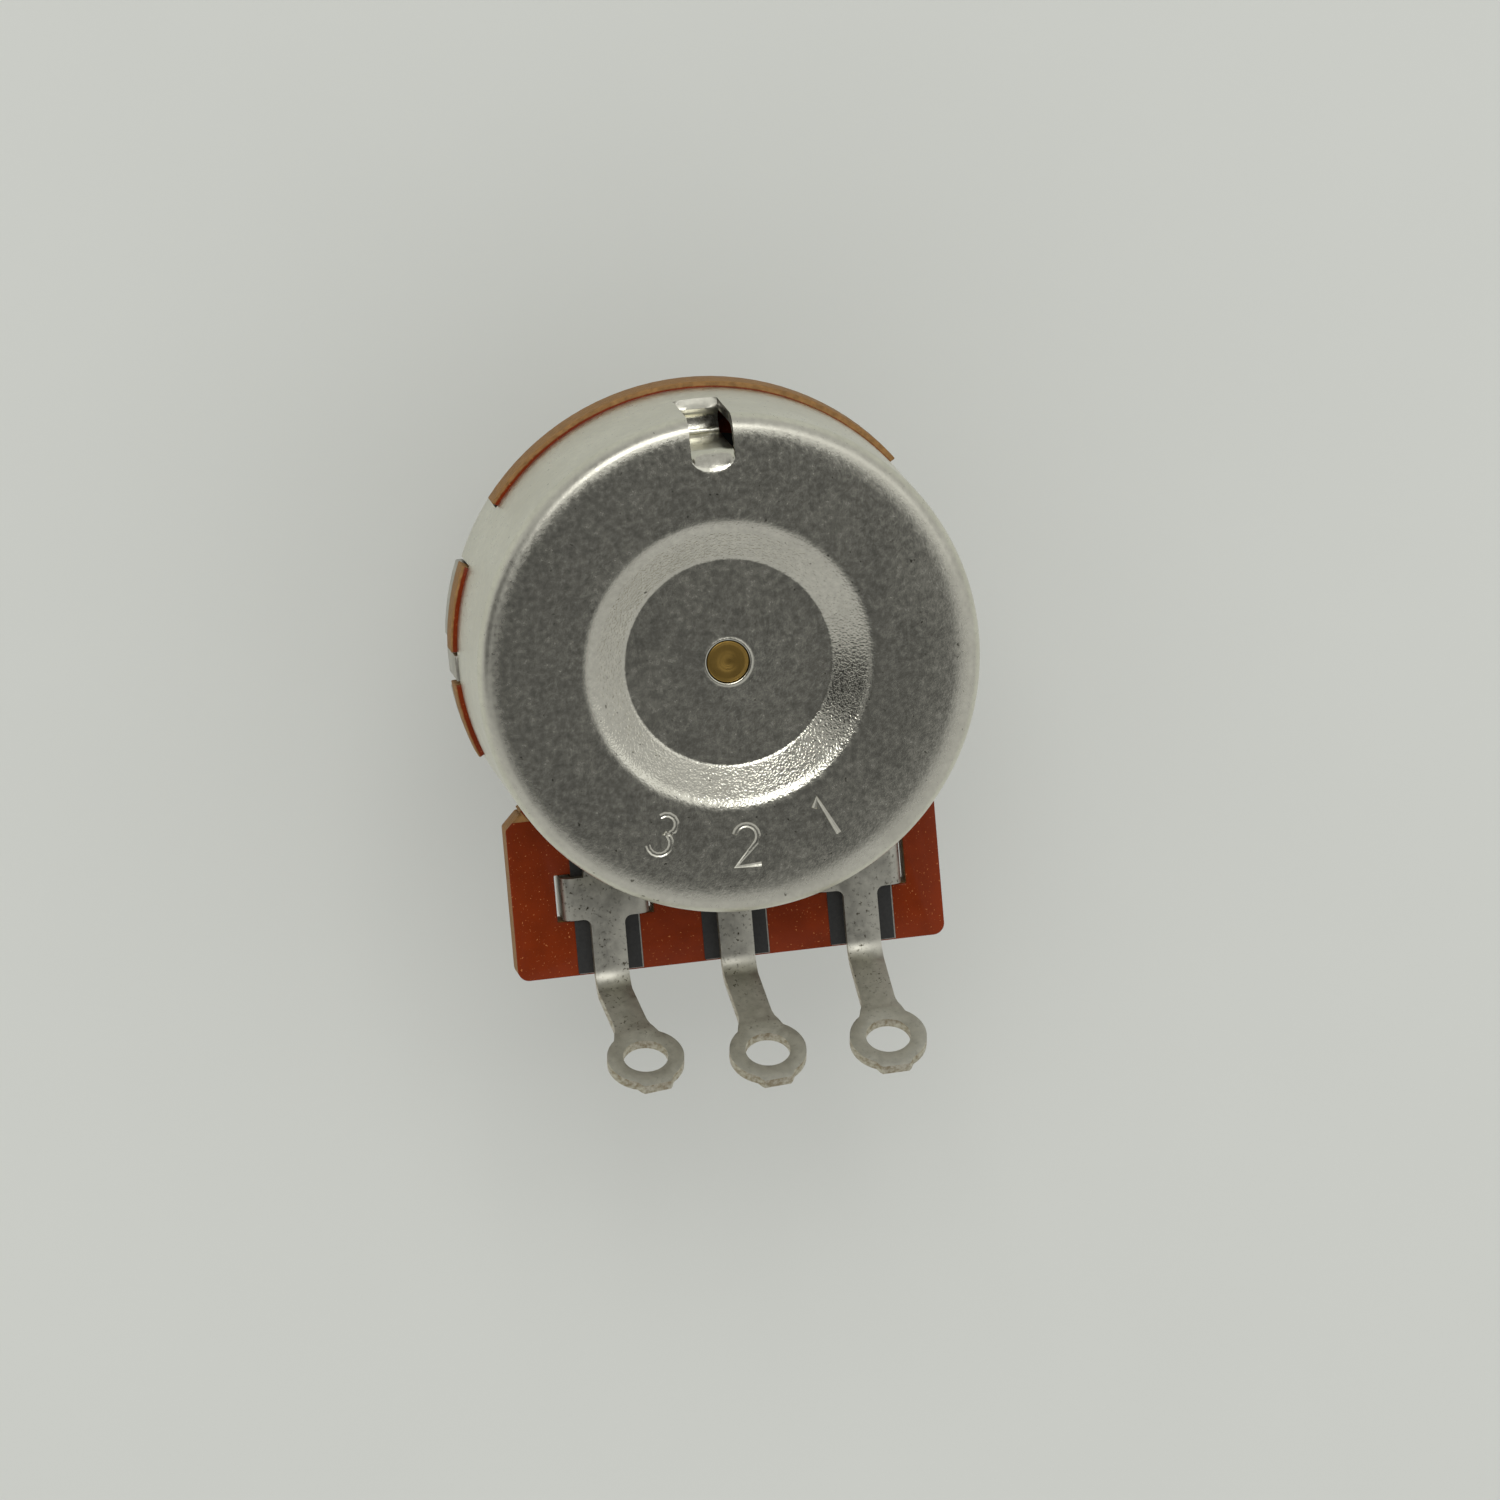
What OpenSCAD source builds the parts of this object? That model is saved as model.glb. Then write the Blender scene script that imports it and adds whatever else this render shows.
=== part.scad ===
// Rotary potentiometer of the 24 mm class with a drawn steel rear cover.
// Sizes are in millimetres. The shaft axis is Z, and +Z leaves through the rear cover.
// The origin is the centre of the bushing shoulder's front face, which seats on a panel.
// The terminals point to -Y, and the rotor's stop strip is at +Y.

/* [Rear cover] */
// Outside diameter of the drawn cover
cover_d = 24; // [23.5:0.1:26]
// Height from the element board to the cover's flat rear face
cover_h = 7.8; // [7.6:0.1:10]
// Thickness of the cover's sheet
cover_t = 0.5; // [0.4:0.05:0.6]
// Outside radius of the shoulder between the crowned edge and the side wall
shoulder_r = 0.8; // [0.6:0.05:1.2]
// Radius of the gentle crown between the flat face and the shoulder
crown_r = 5; // [3:0.5:8]
// Angle through which the crown leans before the shoulder
crown_angle = 12; // [5:1:15]
// Clearance of the rim's relief above the terminals
relief_gap = 0.55; // [0.3:0.05:0.9]
// Clearance of the rim's relief beside the outer leads
relief_side = 1.15; // [0.6:0.05:1.5]

/* [Cover recess] */
// Diameter of the recess's flat floor
recess_floor_d = 9.76; // [8:0.02:10.5]
// Distance across the recess's wall, from the floor's edge to the flat face
recess_wall_w = 2.3; // [2.1:0.02:2.8]
// Depth of the recess
recess_depth = 1.1; // [0.9:0.05:1.2]
// Radius of the fillet at the floor
recess_fillet_r = 0.45; // [0.3:0.05:0.6]
// Slope of the wall between the fillet and the rounded lip, which gives the lip's radius
recess_slope = 33; // [31:1:38]
// Radius of the rounded edge of the centre hole
hole_edge_r = 0.2; // [0.1:0.05:0.25]

/* [Stop strip] */
// Width of the strip lanced from the cover
strip_w = 2.1; // [1.6:0.1:2.6]
// Distance from the cover's side to the strip's outer face
strip_setback = 1.7; // [1.5:0.05:1.9]
// Outside radius of the strip's bend at the cover's face
strip_bend_r = 0.8; // [0.6:0.05:1.0]
// Height above the board of the shelf that ties the strip to the side wall
strip_shelf_h = 2.15; // [1.9:0.05:2.3]
// Outside radius of the bend where the shelf meets the side wall
shelf_edge_r = 0.65; // [0.55:0.05:0.8]
// Inside radius of the bend where the strip meets the shelf
shelf_root_r = 0.35; // [0.2:0.05:0.45]

/* [Cover tabs] */
// Angles of the four tabs that clamp the front plate
tab_angles = [30, 150, 210, 330];
// Width of a tab
tab_w = 3.05; // [2.6:0.05:3.4]
// Length of the folded end over the front plate
tab_fold = 2.6; // [2.0:0.1:3.0]
// Outside radius of the fold
tab_bend_r = 0.6; // [0.5:0.05:0.7]

/* [Front plate] */
// Thickness of the front plate
plate_t = 1.2; // [1.0:0.05:1.4]
// Distance from the cover's side in to the front plate's rim
plate_inset = 0.15; // [0.1:0.05:0.3]
// Distance from the cover's side out to the rim of the two ears
ear_overhang = 0.22; // [0.1:0.02:0.26]
// Height of an ear
ear_w = 9.0; // [8:0.1:9.4]
// Distance from the cover's side in to the flat edge that clears the terminals
plate_flat_inset = 2.3; // [2.2:0.05:2.6]
// Width of a locating lug bent up from an ear
locator_w = 1.25; // [1.0:0.05:1.35]
// Thickness of a locating lug
locator_t = 0.75; // [0.6:0.05:0.8]
// Tilt of the locating lugs about the axis, in degrees
locator_skew = 1.2; // [0:0.1:2]

/* [Bushing] */
// Major diameter of the bushing's thread
bushing_d = 9.52; // [9:0.01:10]
// Length of the thread in front of the shoulder
bushing_l = 9.5; // [6:0.1:12]
// Distance between the turns of the thread
thread_pitch = 0.794; // [0.7:0.001:1]
// Depth of the thread
thread_depth = 0.45; // [0.3:0.01:0.5]
// Width of the thread's flat crest
thread_crest = 0.16; // [0.1:0.01:0.25]
// Diameter of the shoulder
shoulder_d = 13.2; // [12:0.1:14]
// Thickness of the shoulder
shoulder_t = 0.8; // [0.7:0.05:1.2]
// Step from the thread out to the neck that passes through the front plate
neck_step = 0.2; // [0.1:0.05:0.3]
// Width of the swaged lip behind the front plate
swage_lip = 0.75; // [0.5:0.05:0.85]
// Thickness of the swaged head
swage_t = 0.5; // [0.4:0.05:0.6]
// Length of the chamfer at the front end
bushing_chamfer = 0.5; // [0.2:0.05:0.7]

/* [Element board] */
// Thickness of the board
board_t = 1.5; // [1.4:0.05:1.8]
// Distance from the cover's side out to the board's rim
board_overhang = 0.28; // [0.24:0.02:0.4]
// Clearance of the board's centre hole round the swaged lip
board_hole_gap = 0.3; // [0.1:0.05:0.4]
// Width of the tongue that carries the terminals
tongue_w = 20.65; // [20.4:0.05:22]
// Sideways offset of the tongue
tongue_shift = -0.12; // [-0.2:0.02:0.2]
// Distance from the cover's side out to the tongue's lower edge
tongue_drop = 3.75; // [3.6:0.05:4.2]
// Height of the tongue's straight sides
tongue_h = 7.65; // [7.3:0.05:8.2]
// Radius of the tongue's lower corners
tongue_corner_r = 0.55; // [0.3:0.05:1]
// Width of the locating notches
locating_notch_w = 1.6; // [1.5:0.05:2]

/* [Printed tracks] */
// Thickness of the printed layers
print_t = 0.05; // [0.03:0.01:0.08]
// Width of the resistive track
track_w = 1.55; // [1.2:0.05:1.8]
// Angle of the gap at the bottom of the resistive track
track_gap = 56; // [48:1:60]
// Distance from the board's centre hole to the collector ring
collector_margin = 0.3; // [0.2:0.05:0.4]
// Width of the collector ring
collector_w = 1.4; // [1.1:0.05:1.6]
// Space between the collector ring and the resistive track
track_space = 0.55; // [0.4:0.05:0.8]
// Width of a printed lead under its terminal
lead_w = 3.08; // [2.8:0.02:3.2]
// Distance from a lead's lower end to the tongue's edge
lead_inset = 0.1; // [0.05:0.05:0.3]

/* [Terminals] */
// Distance between neighbouring terminals
terminal_pitch = 6.1; // [5.9:0.05:6.4]
// Sideways offset of the middle terminal
terminal_shift = 0.1; // [-0.2:0.02:0.2]
// Thickness of a terminal
terminal_t = 0.5; // [0.4:0.05:0.6]
// Width of the neck
neck_w = 1.62; // [1.4:0.02:1.9]
// Width of the upper stem
stem_w = 2.0; // [1.8:0.05:2.2]
// Length of the stem above the wings
stem_l = 0.85; // [0.6:0.05:0.9]
// Width over the two wings
wing_w = 4.18; // [3.9:0.02:4.4]
// Height of a wing
wing_h = 2.05; // [1.7:0.05:2.3]
// Distance from the tongue's lower edge to the wings
wing_inset = 2.8; // [2.4:0.05:3]
// Thickness of a clinched leg
leg_t = 0.45; // [0.35:0.05:0.5]
// Length of a leg's folded end in front of the board
leg_fold = 1.2; // [0.8:0.1:1.3]
// Distance from the tongue's lower edge to the line where the neck bends away
bend_overhang = 0; // [-0.2:0.05:0.4]
// Inside radius of that bend
bend_r = 0.5; // [0.3:0.05:0.7]
// Angle between each bent neck and the board, left to right
bend_angles = [59, 56.5, 56];
// Length from each bend to its eyelet's centre, left to right
neck_lengths = [5.2, 5.45, 5.4];
// Sideways lean of each bent neck, left to right
neck_leans = [7.2, 4.2, 1.2];
// Outside diameter of the eyelet
eyelet_d = 3.67; // [3.4:0.01:4]
// Diameter of the eyelet's hole
eyelet_hole_d = 2.15; // [1.8:0.01:2.4]
// Width of the small nib at the eyelet's end
nib_w = 1.5; // [1.2:0.1:1.8]
// Height of that nib beyond the eyelet
nib_h = 0.15; // [0.1:0.05:0.4]

/* [Shaft] */
// Diameter of the shaft's knob end
shaft_d = 6; // [5.6:0.05:6.2]
// Diameter of the journal that turns in the bushing
journal_d = 6.35; // [6.3:0.01:6.6]
// Distance from the panel seat to the shaft's front end
shaft_l = 19; // [14:0.1:25]
// Length of the chamfer at the front end
shaft_chamfer = 0.4; // [0.2:0.05:0.6]
// Diameter of the retaining groove's floor
groove_d = 4.9; // [4.6:0.05:5.0]
// Length of the collar behind the groove
collar_h = 1.0; // [0.8:0.05:1.2]
// Diameter of the seat that carries the rotor
seat_d = 5.0; // [4.8:0.05:5.2]
// Distance across the seat's two flats
seat_flats = 4.0; // [3.6:0.05:4.3]
// Diameter of the staked end that holds the rotor
stake_d = 5.8; // [5.5:0.05:6]
// Thickness of the staked end
stake_h = 0.35; // [0.3:0.05:0.5]
// Diameter of the pilot in the cover's centre hole
pilot_d = 2.0; // [1.8:0.05:2.2]
// Depth of the pilot's end below the floor of the cover's recess
pilot_sink = 0.05; // [0:0.05:0.2]
// Diameter of the turned dimple in the pilot's end
dimple_d = 0.9; // [0.6:0.05:1.1]

/* [Retaining parts] */
// Outside diameter of the retaining ring
ring_d = 9.1; // [8.6:0.1:9.2]
// Thickness of the retaining ring
ring_t = 0.5; // [0.4:0.05:0.6]
// Width of the retaining ring's mouth
ring_mouth = 4.2; // [3.8:0.1:4.6]
// Outside diameter of the thrust washer
washer_d = 10; // [9:0.1:10.4]
// Thickness of the thrust washer
washer_t = 0.3; // [0.2:0.05:0.4]

/* [Rotor] */
// Radial clearance of the rotor's disc inside the stop strip
rotor_gap = 0.7; // [0.5:0.05:1.2]
// Thickness of the disc
rotor_t = 1.8; // [1.4:0.1:2]
// Height of the disc's front face above the board
rotor_lift = 1.5; // [1.3:0.1:1.7]
// Diameter of the rotor's hub
hub_d = 8.8; // [8.2:0.1:9.4]
// Height of the hub behind the disc
hub_rise = 1.2; // [0.8:0.1:1.6]
// Radial clearance of the stop lug inside the cover
stop_lug_gap = 0.55; // [0.4:0.05:0.7]
// Height of the stop lug above the disc's front face
stop_lug_h = 2.4; // [2:0.1:2.6]
// Full rotation of the shaft between its stops
travel = 300; // [260:1:310]

/* [Wiper] */
// Thickness of the wiper's spring sheet
wiper_t = 0.2; // [0.15:0.01:0.25]
// Width of one contact finger
finger_w = 0.7; // [0.5:0.05:0.8]
// Length of one contact finger
finger_l = 2.6; // [2.2:0.1:3]
// Angle of the wiper's plate round the axis
finger_sweep = 30; // [24:1:34]
// Width of the flat tip of a finger
contact_w = 0.5; // [0.3:0.05:0.6]

/* [Fits] */
// Radial clearance of the shaft in the bushing
shaft_play = 0.05; // [0.03:0.01:0.08]
// Radial clearance of the pilot in the cover
pilot_play = 0.05; // [0.03:0.01:0.08]
// Clearance round the rotor's seat
seat_gap = 0.03; // [0.02:0.01:0.05]
// Clearance between parts that are pressed or swaged together
joint_gap = 0.02; // [0.01:0.01:0.04]
// Clearance on each side of a tab, a leg or a locating lug in its notch
notch_gap = 0.12; // [0.08:0.02:0.2]
// Axial play on each side of the retaining ring
ring_play = 0.04; // [0.02:0.01:0.08]
// Angle left between the stop lug and the strip at each end of the travel
stop_gap = 0.8; // [0.4:0.1:1.2]

/* [Hidden] */
$fn = 96;

// Small overlap that lets cuts break through a face
eps = 0.1;
// Overlap that joins the stretches of one bent sheet
seam = 0.02;
// Segments of one rounded edge in a profile
arc_n = 8;

// Levels along the axis, from the panel seat to the rear
plate_z = shoulder_t;
board_z = plate_z + plate_t;
print_z = board_z + board_t;
face_z = print_z + cover_h;
floor_z = face_z - recess_depth;
shelf_z = print_z + strip_shelf_h;

// Radii and reaches from the shaft axis
cover_r = cover_d / 2;
inner_r = cover_r - cover_t;
hole_r = pilot_d / 2 + pilot_play;
strip_r = cover_r - strip_setback;
plate_r = cover_r - plate_inset;
ear_r = cover_r + ear_overhang;
plate_flat = cover_r - plate_flat_inset;
board_r = cover_r + board_overhang;
notch_floor_r = inner_r - notch_gap;
locator_r = cover_r - cover_t / 2;
neck_r = bushing_d / 2 + neck_step;
swage_r = neck_r + swage_lip;
board_hole_r = swage_r + board_hole_gap;
rotor_r = strip_r - cover_t - rotor_gap;
stop_lug_r = inner_r - stop_lug_gap;
tongue_reach = cover_r + tongue_drop;
tongue_top = tongue_reach - tongue_h;
bend_reach = tongue_reach + bend_overhang;
wing_top = tongue_reach - wing_inset - wing_h;
stem_top = wing_top - stem_l;

// Lip radius that keeps the recess's wall tangent to the lip and the fillet
recess_floor_r = recess_floor_d / 2;
recess_mouth_r = recess_floor_r + recess_wall_w;
recess_run = recess_wall_w * sin(recess_slope) - recess_depth * cos(recess_slope);
recess_lip_r = recess_run / (1 - cos(recess_slope)) - recess_fillet_r;

// Centres of the crown and the shoulder, which meet at the crown's angle
crown_x = cover_r - shoulder_r - (crown_r - shoulder_r) * sin(crown_angle);
shoulder_z = face_z - crown_r + (crown_r - shoulder_r) * cos(crown_angle);

// Retaining stack behind the bushing's swaged head
washer_z = board_z + swage_t;
ring_z = washer_z + washer_t + ring_play;
groove_end_z = ring_z + ring_t + ring_play;
rotor_z = print_z + rotor_lift;
seat_z = groove_end_z + collar_h;
stake_z = rotor_z + rotor_t + hub_rise;
stake_top_z = stake_z + stake_h;

// Half angle of the stop lug that gives the travel between the strip's edges
strip_half_angle = asin(strip_w / 2 / (strip_r - cover_t));
stop_lug_half = 180 - travel / 2 - strip_half_angle - stop_gap;

// Edges of the printed rings, and the radii of the contact tips at their middles
collector_inner_r = board_hole_r + collector_margin;
collector_outer_r = collector_inner_r + collector_w;
track_inner_r = collector_outer_r + track_space;
track_outer_r = track_inner_r + track_w;
collector_r = collector_inner_r + collector_w / 2;
track_r = track_inner_r + track_w / 2;

// Places of the terminals across the tongue, and the rim's relief over them
terminal_x = [for (i = [-1:1]) terminal_shift + i * terminal_pitch];
relief_h = print_t + terminal_t + relief_gap;
relief_w = 2 * terminal_pitch + lead_w + 2 * relief_side;

// Whole turns of the thread between the shoulder and the front chamfer
thread_turns = floor((bushing_l - bushing_chamfer - thread_crest) / thread_pitch);

steel = "silver";
brass = "goldenrod";
phenolic = "saddlebrown";
tinned = "darkgray";

// Points of an arc from angle a0 to a1
function arc(x, y, r, a0, a1) =
    [for (i = [0:arc_n]) let (a = a0 + (a1 - a0) * i / arc_n) [x + r * cos(a), y + r * sin(a)]];

function rest(points) = [for (i = [1:len(points) - 1]) points[i]];

function reversed(points) = [for (i = [len(points) - 1:-1:0]) points[i]];

// One side of the cover's sheet from the centre hole to the rim, set inwards by depth
function cover_side(depth) = concat(
    arc(recess_floor_r, floor_z + recess_fillet_r, recess_fillet_r + depth, -90, recess_slope - 90),
    arc(recess_mouth_r, face_z - recess_lip_r, recess_lip_r - depth, 90 + recess_slope, 90),
    arc(crown_x, face_z - crown_r, crown_r - depth, 90, 90 - crown_angle),
    rest(arc(cover_r - shoulder_r, shoulder_z, shoulder_r - depth, 90 - crown_angle, 0)),
    [[cover_r - depth, print_z]]
);

// Half section of the drawn cover
module cover_section() {
    polygon(concat(
        [[hole_r, floor_z - cover_t]],
        arc(hole_r + hole_edge_r, floor_z - hole_edge_r, hole_edge_r, 180, 90),
        cover_side(0),
        reversed(cover_side(cover_t))
    ));
}

// Section of the stop strip from the cover's face down to the side wall
module strip_section() {
    top_y = strip_r - strip_bend_r;
    top_z = face_z - strip_bend_r;
    root_y = strip_r + shelf_root_r;
    root_z = shelf_z + shelf_root_r;
    edge_y = cover_r - shelf_edge_r;
    edge_z = shelf_z - shelf_edge_r;
    polygon(concat(
        [[top_y - eps, face_z]],
        arc(top_y, top_z, strip_bend_r, 90, 0),
        arc(root_y, root_z, shelf_root_r, 180, 270),
        arc(edge_y, edge_z, shelf_edge_r, 90, 0),
        [[cover_r, edge_z - eps], [cover_r - cover_t, edge_z - eps]],
        arc(edge_y, edge_z, shelf_edge_r - cover_t, 0, 90),
        arc(root_y, root_z, shelf_root_r + cover_t, 270, 180),
        arc(top_y, top_z, strip_bend_r - cover_t, 0, 90),
        [[top_y - eps, face_z - cover_t]]
    ));
}

// Stands a section drawn as distance and height upright, and gives it a width across Y
module across(width) {
    translate([-width / 2, 0, 0])
        rotate([90, 0, 90])
            linear_extrude(width)
                children();
}

// Section of a tab from the side wall round the front plate's rim
module tab_section() {
    fold_z = plate_z - cover_t + tab_bend_r;
    fold_r = cover_r - tab_bend_r;
    polygon(concat(
        [[cover_r, print_z + eps]],
        arc(fold_r, fold_z, tab_bend_r, 0, -90),
        [[cover_r - tab_fold, plate_z - cover_t], [cover_r - tab_fold, plate_z]],
        arc(fold_r, fold_z, tab_bend_r - cover_t, -90, 0),
        [[cover_r - cover_t, print_z + eps]]
    ));
}

module rear_cover() {
    color(steel) {
        difference() {
            rotate_extrude()
                cover_section();
            translate([-strip_w / 2, strip_r - strip_bend_r, shelf_z - shelf_edge_r])
                cube([strip_w, cover_r, cover_h]);
            translate([terminal_shift - relief_w / 2, -cover_r - eps, print_z - eps])
                cube([relief_w, cover_r / 2, relief_h + eps]);
        }
        intersection() {
            across(strip_w)
                strip_section();
            cylinder(h = face_z, r = cover_r);
        }
        for (angle = tab_angles)
            intersection() {
                rotate(angle - 90)
                    across(tab_w)
                        tab_section();
                cylinder(h = face_z, r = cover_r);
            }
    }
}

// Openings round the rim that let the cover's tabs pass
module tab_notches(gap) {
    for (angle = tab_angles)
        rotate(angle)
            translate([notch_floor_r, -tab_w / 2 - gap])
                square([cover_r, tab_w + 2 * gap]);
}

// Places its children at both locating lugs
module at_locators() {
    rotate(180 + locator_skew)
        children();
    rotate(-locator_skew)
        children();
}

module front_plate() {
    color(steel) {
        translate([0, 0, plate_z])
            linear_extrude(plate_t)
                difference() {
                    union() {
                        circle(r = plate_r);
                        intersection() {
                            circle(r = ear_r);
                            square([2 * ear_r, ear_w], center = true);
                        }
                    }
                    circle(r = neck_r + joint_gap);
                    tab_notches(notch_gap);
                    at_locators()
                        translate([locator_r, -locator_w])
                            square(2 * locator_w);
                    translate([-cover_r, -plate_flat - cover_r])
                        square([cover_d, cover_r]);
                }
        at_locators()
            translate([locator_r - locator_t / 2, -locator_w / 2, plate_z])
                cube([locator_t, locator_w, plate_t + board_t - joint_gap]);
    }
}

// Turns of the bushing's thread as rings, from the front end to the shoulder
function thread_rings(radius) = [
    for (i = [thread_turns - 1:-1:0]) each [
        [radius, -(i + 1) * thread_pitch],
        [radius - thread_depth, -(i + 0.5) * thread_pitch - thread_crest / 2],
        [radius, -i * thread_pitch - thread_crest]
    ]
];

module bushing() {
    thread_r = bushing_d / 2;
    bore_r = journal_d / 2 + shaft_play;
    color(brass)
        difference() {
            rotate_extrude()
                polygon(concat(
                    [
                        [0, -bushing_l],
                        [thread_r - bushing_chamfer, -bushing_l],
                        [thread_r, bushing_chamfer - bushing_l]
                    ],
                    thread_rings(thread_r),
                    [
                        [thread_r, 0],
                        [shoulder_d / 2, 0],
                        [shoulder_d / 2, shoulder_t],
                        [neck_r, shoulder_t],
                        [neck_r, board_z],
                        [swage_r, board_z],
                        [swage_r, board_z + swage_t / 2],
                        [swage_r - swage_t / 2, board_z + swage_t],
                        [0, board_z + swage_t]
                    ]
                ));
            translate([0, 0, -bushing_l - eps])
                cylinder(h = bushing_l + board_z + swage_t + 2 * eps, r = bore_r);
        }
}

// Outline of the tongue with its rounded lower corners
module tongue() {
    half = tongue_w / 2;
    translate([tongue_shift, -tongue_reach]) {
        translate([-half, tongue_corner_r])
            square([tongue_w, tongue_reach - tongue_top - tongue_corner_r]);
        translate([tongue_corner_r - half, 0])
            square([tongue_w - 2 * tongue_corner_r, 2 * tongue_corner_r]);
        for (x = [tongue_corner_r - half, half - tongue_corner_r])
            translate([x, tongue_corner_r])
                circle(r = tongue_corner_r);
    }
}

// Slots that the clinched legs of the terminals pass through
module leg_slots() {
    slot_w = leg_t + 3 * notch_gap;
    for (x = terminal_x, side = [-1, 1])
        translate([
            x + side * (wing_w / 2 - leg_t - notch_gap + slot_w / 2) - slot_w / 2,
            -wing_top - wing_h - notch_gap
        ])
            square([slot_w, wing_h + 2 * notch_gap]);
}

module element_board() {
    color(phenolic)
        translate([0, 0, board_z])
            linear_extrude(board_t)
                difference() {
                    union() {
                        circle(r = board_r);
                        tongue();
                    }
                    circle(r = board_hole_r);
                    tab_notches(notch_gap);
                    leg_slots();
                    at_locators()
                        translate([locator_r - locator_t / 2 - notch_gap, -locating_notch_w / 2])
                            square([cover_r, locating_notch_w]);
                }
}

// Wedge below the axis that is left out of the resistive track
module gap_wedge(angle) {
    reach = 2 * cover_r;
    polygon([[0, 0], [-reach * sin(angle / 2), -reach * cos(angle / 2)], [0, -2 * reach],
        [reach * sin(angle / 2), -reach * cos(angle / 2)]]);
}

module resistive_track() {
    color("dimgray")
        translate([0, 0, print_z])
            linear_extrude(print_t)
                difference() {
                    circle(r = track_outer_r);
                    circle(r = track_inner_r);
                    gap_wedge(track_gap);
                }
}

module collector_ring() {
    color("gainsboro")
        translate([0, 0, print_z])
            linear_extrude(print_t)
                difference() {
                    circle(r = collector_outer_r);
                    circle(r = collector_inner_r);
                }
}

// Outline of the pad under a terminal, up to the height top
module lead_pad(x, top) {
    bottom = -tongue_reach + lead_inset;
    translate([x - lead_w / 2, bottom])
        square([lead_w, top - bottom]);
}

// Printed lead from the tongue's edge up to the round track that it feeds
module lead(i, ring_r, top) {
    color("darkslategray")
        translate([0, 0, print_z])
            linear_extrude(print_t)
                difference() {
                    lead_pad(terminal_x[i], top);
                    circle(r = ring_r + joint_gap);
                }
}

// Height at which an end lead's outer edge meets the resistive track
function track_edge(x) = -sqrt(pow(track_outer_r, 2) - pow(abs(x) + lead_w / 2, 2));

module lead_left() {
    lead(0, track_outer_r, track_edge(terminal_x[0]));
}

module lead_middle() {
    lead(1, collector_outer_r, -collector_inner_r);
}

module lead_right() {
    lead(2, track_outer_r, track_edge(terminal_x[2]));
}

// Outline of a terminal's flat part, from the stem's end to the bend
module terminal_outline() {
    stem_r = stem_w / 2;
    translate([-neck_w / 2, -bend_reach - seam])
        square([neck_w, bend_reach + seam - wing_top - wing_h / 2]);
    translate([-stem_r, -wing_top - wing_h / 2])
        square([stem_w, wing_top + wing_h / 2 - stem_top - stem_r]);
    translate([0, -stem_top - stem_r])
        circle(r = stem_r);
    translate([-wing_w / 2, -wing_top - wing_h])
        square([wing_w, wing_h]);
}

// Neck and eyelet beyond the bend, drawn flat and pointing to -Y from the bend's end
module eyelet_outline(neck_l, lean) {
    half = neck_w / 2;
    centre = [neck_l * sin(lean), -neck_l * cos(lean)];
    across_end = [half * cos(lean), half * sin(lean)];
    difference() {
        union() {
            polygon([[-half, seam], [half, seam], centre + across_end, centre - across_end]);
            translate(centre)
                circle(d = eyelet_d);
            translate(centre)
                rotate(lean)
                    polygon([
                        [-nib_w, 0],
                        [nib_w, 0],
                        [nib_w / 2, -eyelet_d / 2 - nib_h],
                        [-nib_w / 2, -eyelet_d / 2 - nib_h]
                    ]);
        }
        translate(centre)
            circle(d = eyelet_hole_d);
    }
}

// Leg that drops through the board from a wing's end and folds in front of the board
module clinched_leg(side) {
    outer_x = side * wing_w / 2;
    y = -wing_top - wing_h;
    front_z = board_z - leg_t;
    top_z = print_z + print_t + terminal_t;
    translate([min(outer_x, outer_x - side * leg_t), y, front_z])
        cube([leg_t, wing_h, top_z - front_z]);
    translate([min(outer_x, outer_x - side * leg_fold), y, front_z])
        cube([leg_fold, wing_h, leg_t]);
}

// Solder terminal: flat part on its lead, clinched legs, bent neck and eyelet
module terminal(i) {
    base_z = print_z + print_t;
    centre_z = base_z + terminal_t + bend_r;
    bend = bend_angles[i];
    color(tinned)
        translate([terminal_x[i], 0, 0]) {
            translate([0, 0, base_z])
                linear_extrude(terminal_t)
                    terminal_outline();
            for (side = [-1, 1])
                clinched_leg(side);
            translate([0, -bend_reach, centre_z]) {
                rotate([0, 90, 0])
                    rotate([0, 0, -bend])
                        translate([0, 0, -neck_w / 2])
                            rotate_extrude(angle = bend)
                                translate([bend_r, 0])
                                    square([terminal_t, neck_w]);
                rotate([-bend, 0, 0])
                    translate([0, 0, -bend_r - terminal_t])
                        linear_extrude(terminal_t)
                            eyelet_outline(neck_lengths[i], neck_leans[i]);
            }
        }
}

module terminal_left() {
    terminal(0);
}

module terminal_middle() {
    terminal(1);
}

module terminal_right() {
    terminal(2);
}

module shaft() {
    knob_r = shaft_d / 2;
    journal_r = journal_d / 2;
    pilot_z = floor_z - pilot_sink;
    color(brass)
        difference() {
            rotate_extrude()
                polygon([
                    [0, -shaft_l],
                    [knob_r - shaft_chamfer, -shaft_l],
                    [knob_r, shaft_chamfer - shaft_l],
                    [knob_r, -bushing_l],
                    [journal_r, -bushing_l],
                    [journal_r, ring_z - ring_play],
                    [groove_d / 2, ring_z - ring_play],
                    [groove_d / 2, groove_end_z],
                    [journal_r, groove_end_z],
                    [journal_r, seat_z],
                    [seat_d / 2, seat_z],
                    [seat_d / 2, stake_z],
                    [stake_d / 2, stake_z],
                    [stake_d / 2, stake_top_z],
                    [pilot_d / 2, stake_top_z],
                    [pilot_d / 2, pilot_z],
                    [dimple_d / 2, pilot_z],
                    [0, pilot_z - dimple_d / 4]
                ]);
            for (side = [-1, 1])
                translate([side * (seat_flats + cover_r) / 2 - cover_r / 2, -cover_r / 2, seat_z])
                    cube([cover_r, cover_r, stake_z - seat_z]);
        }
}

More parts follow.
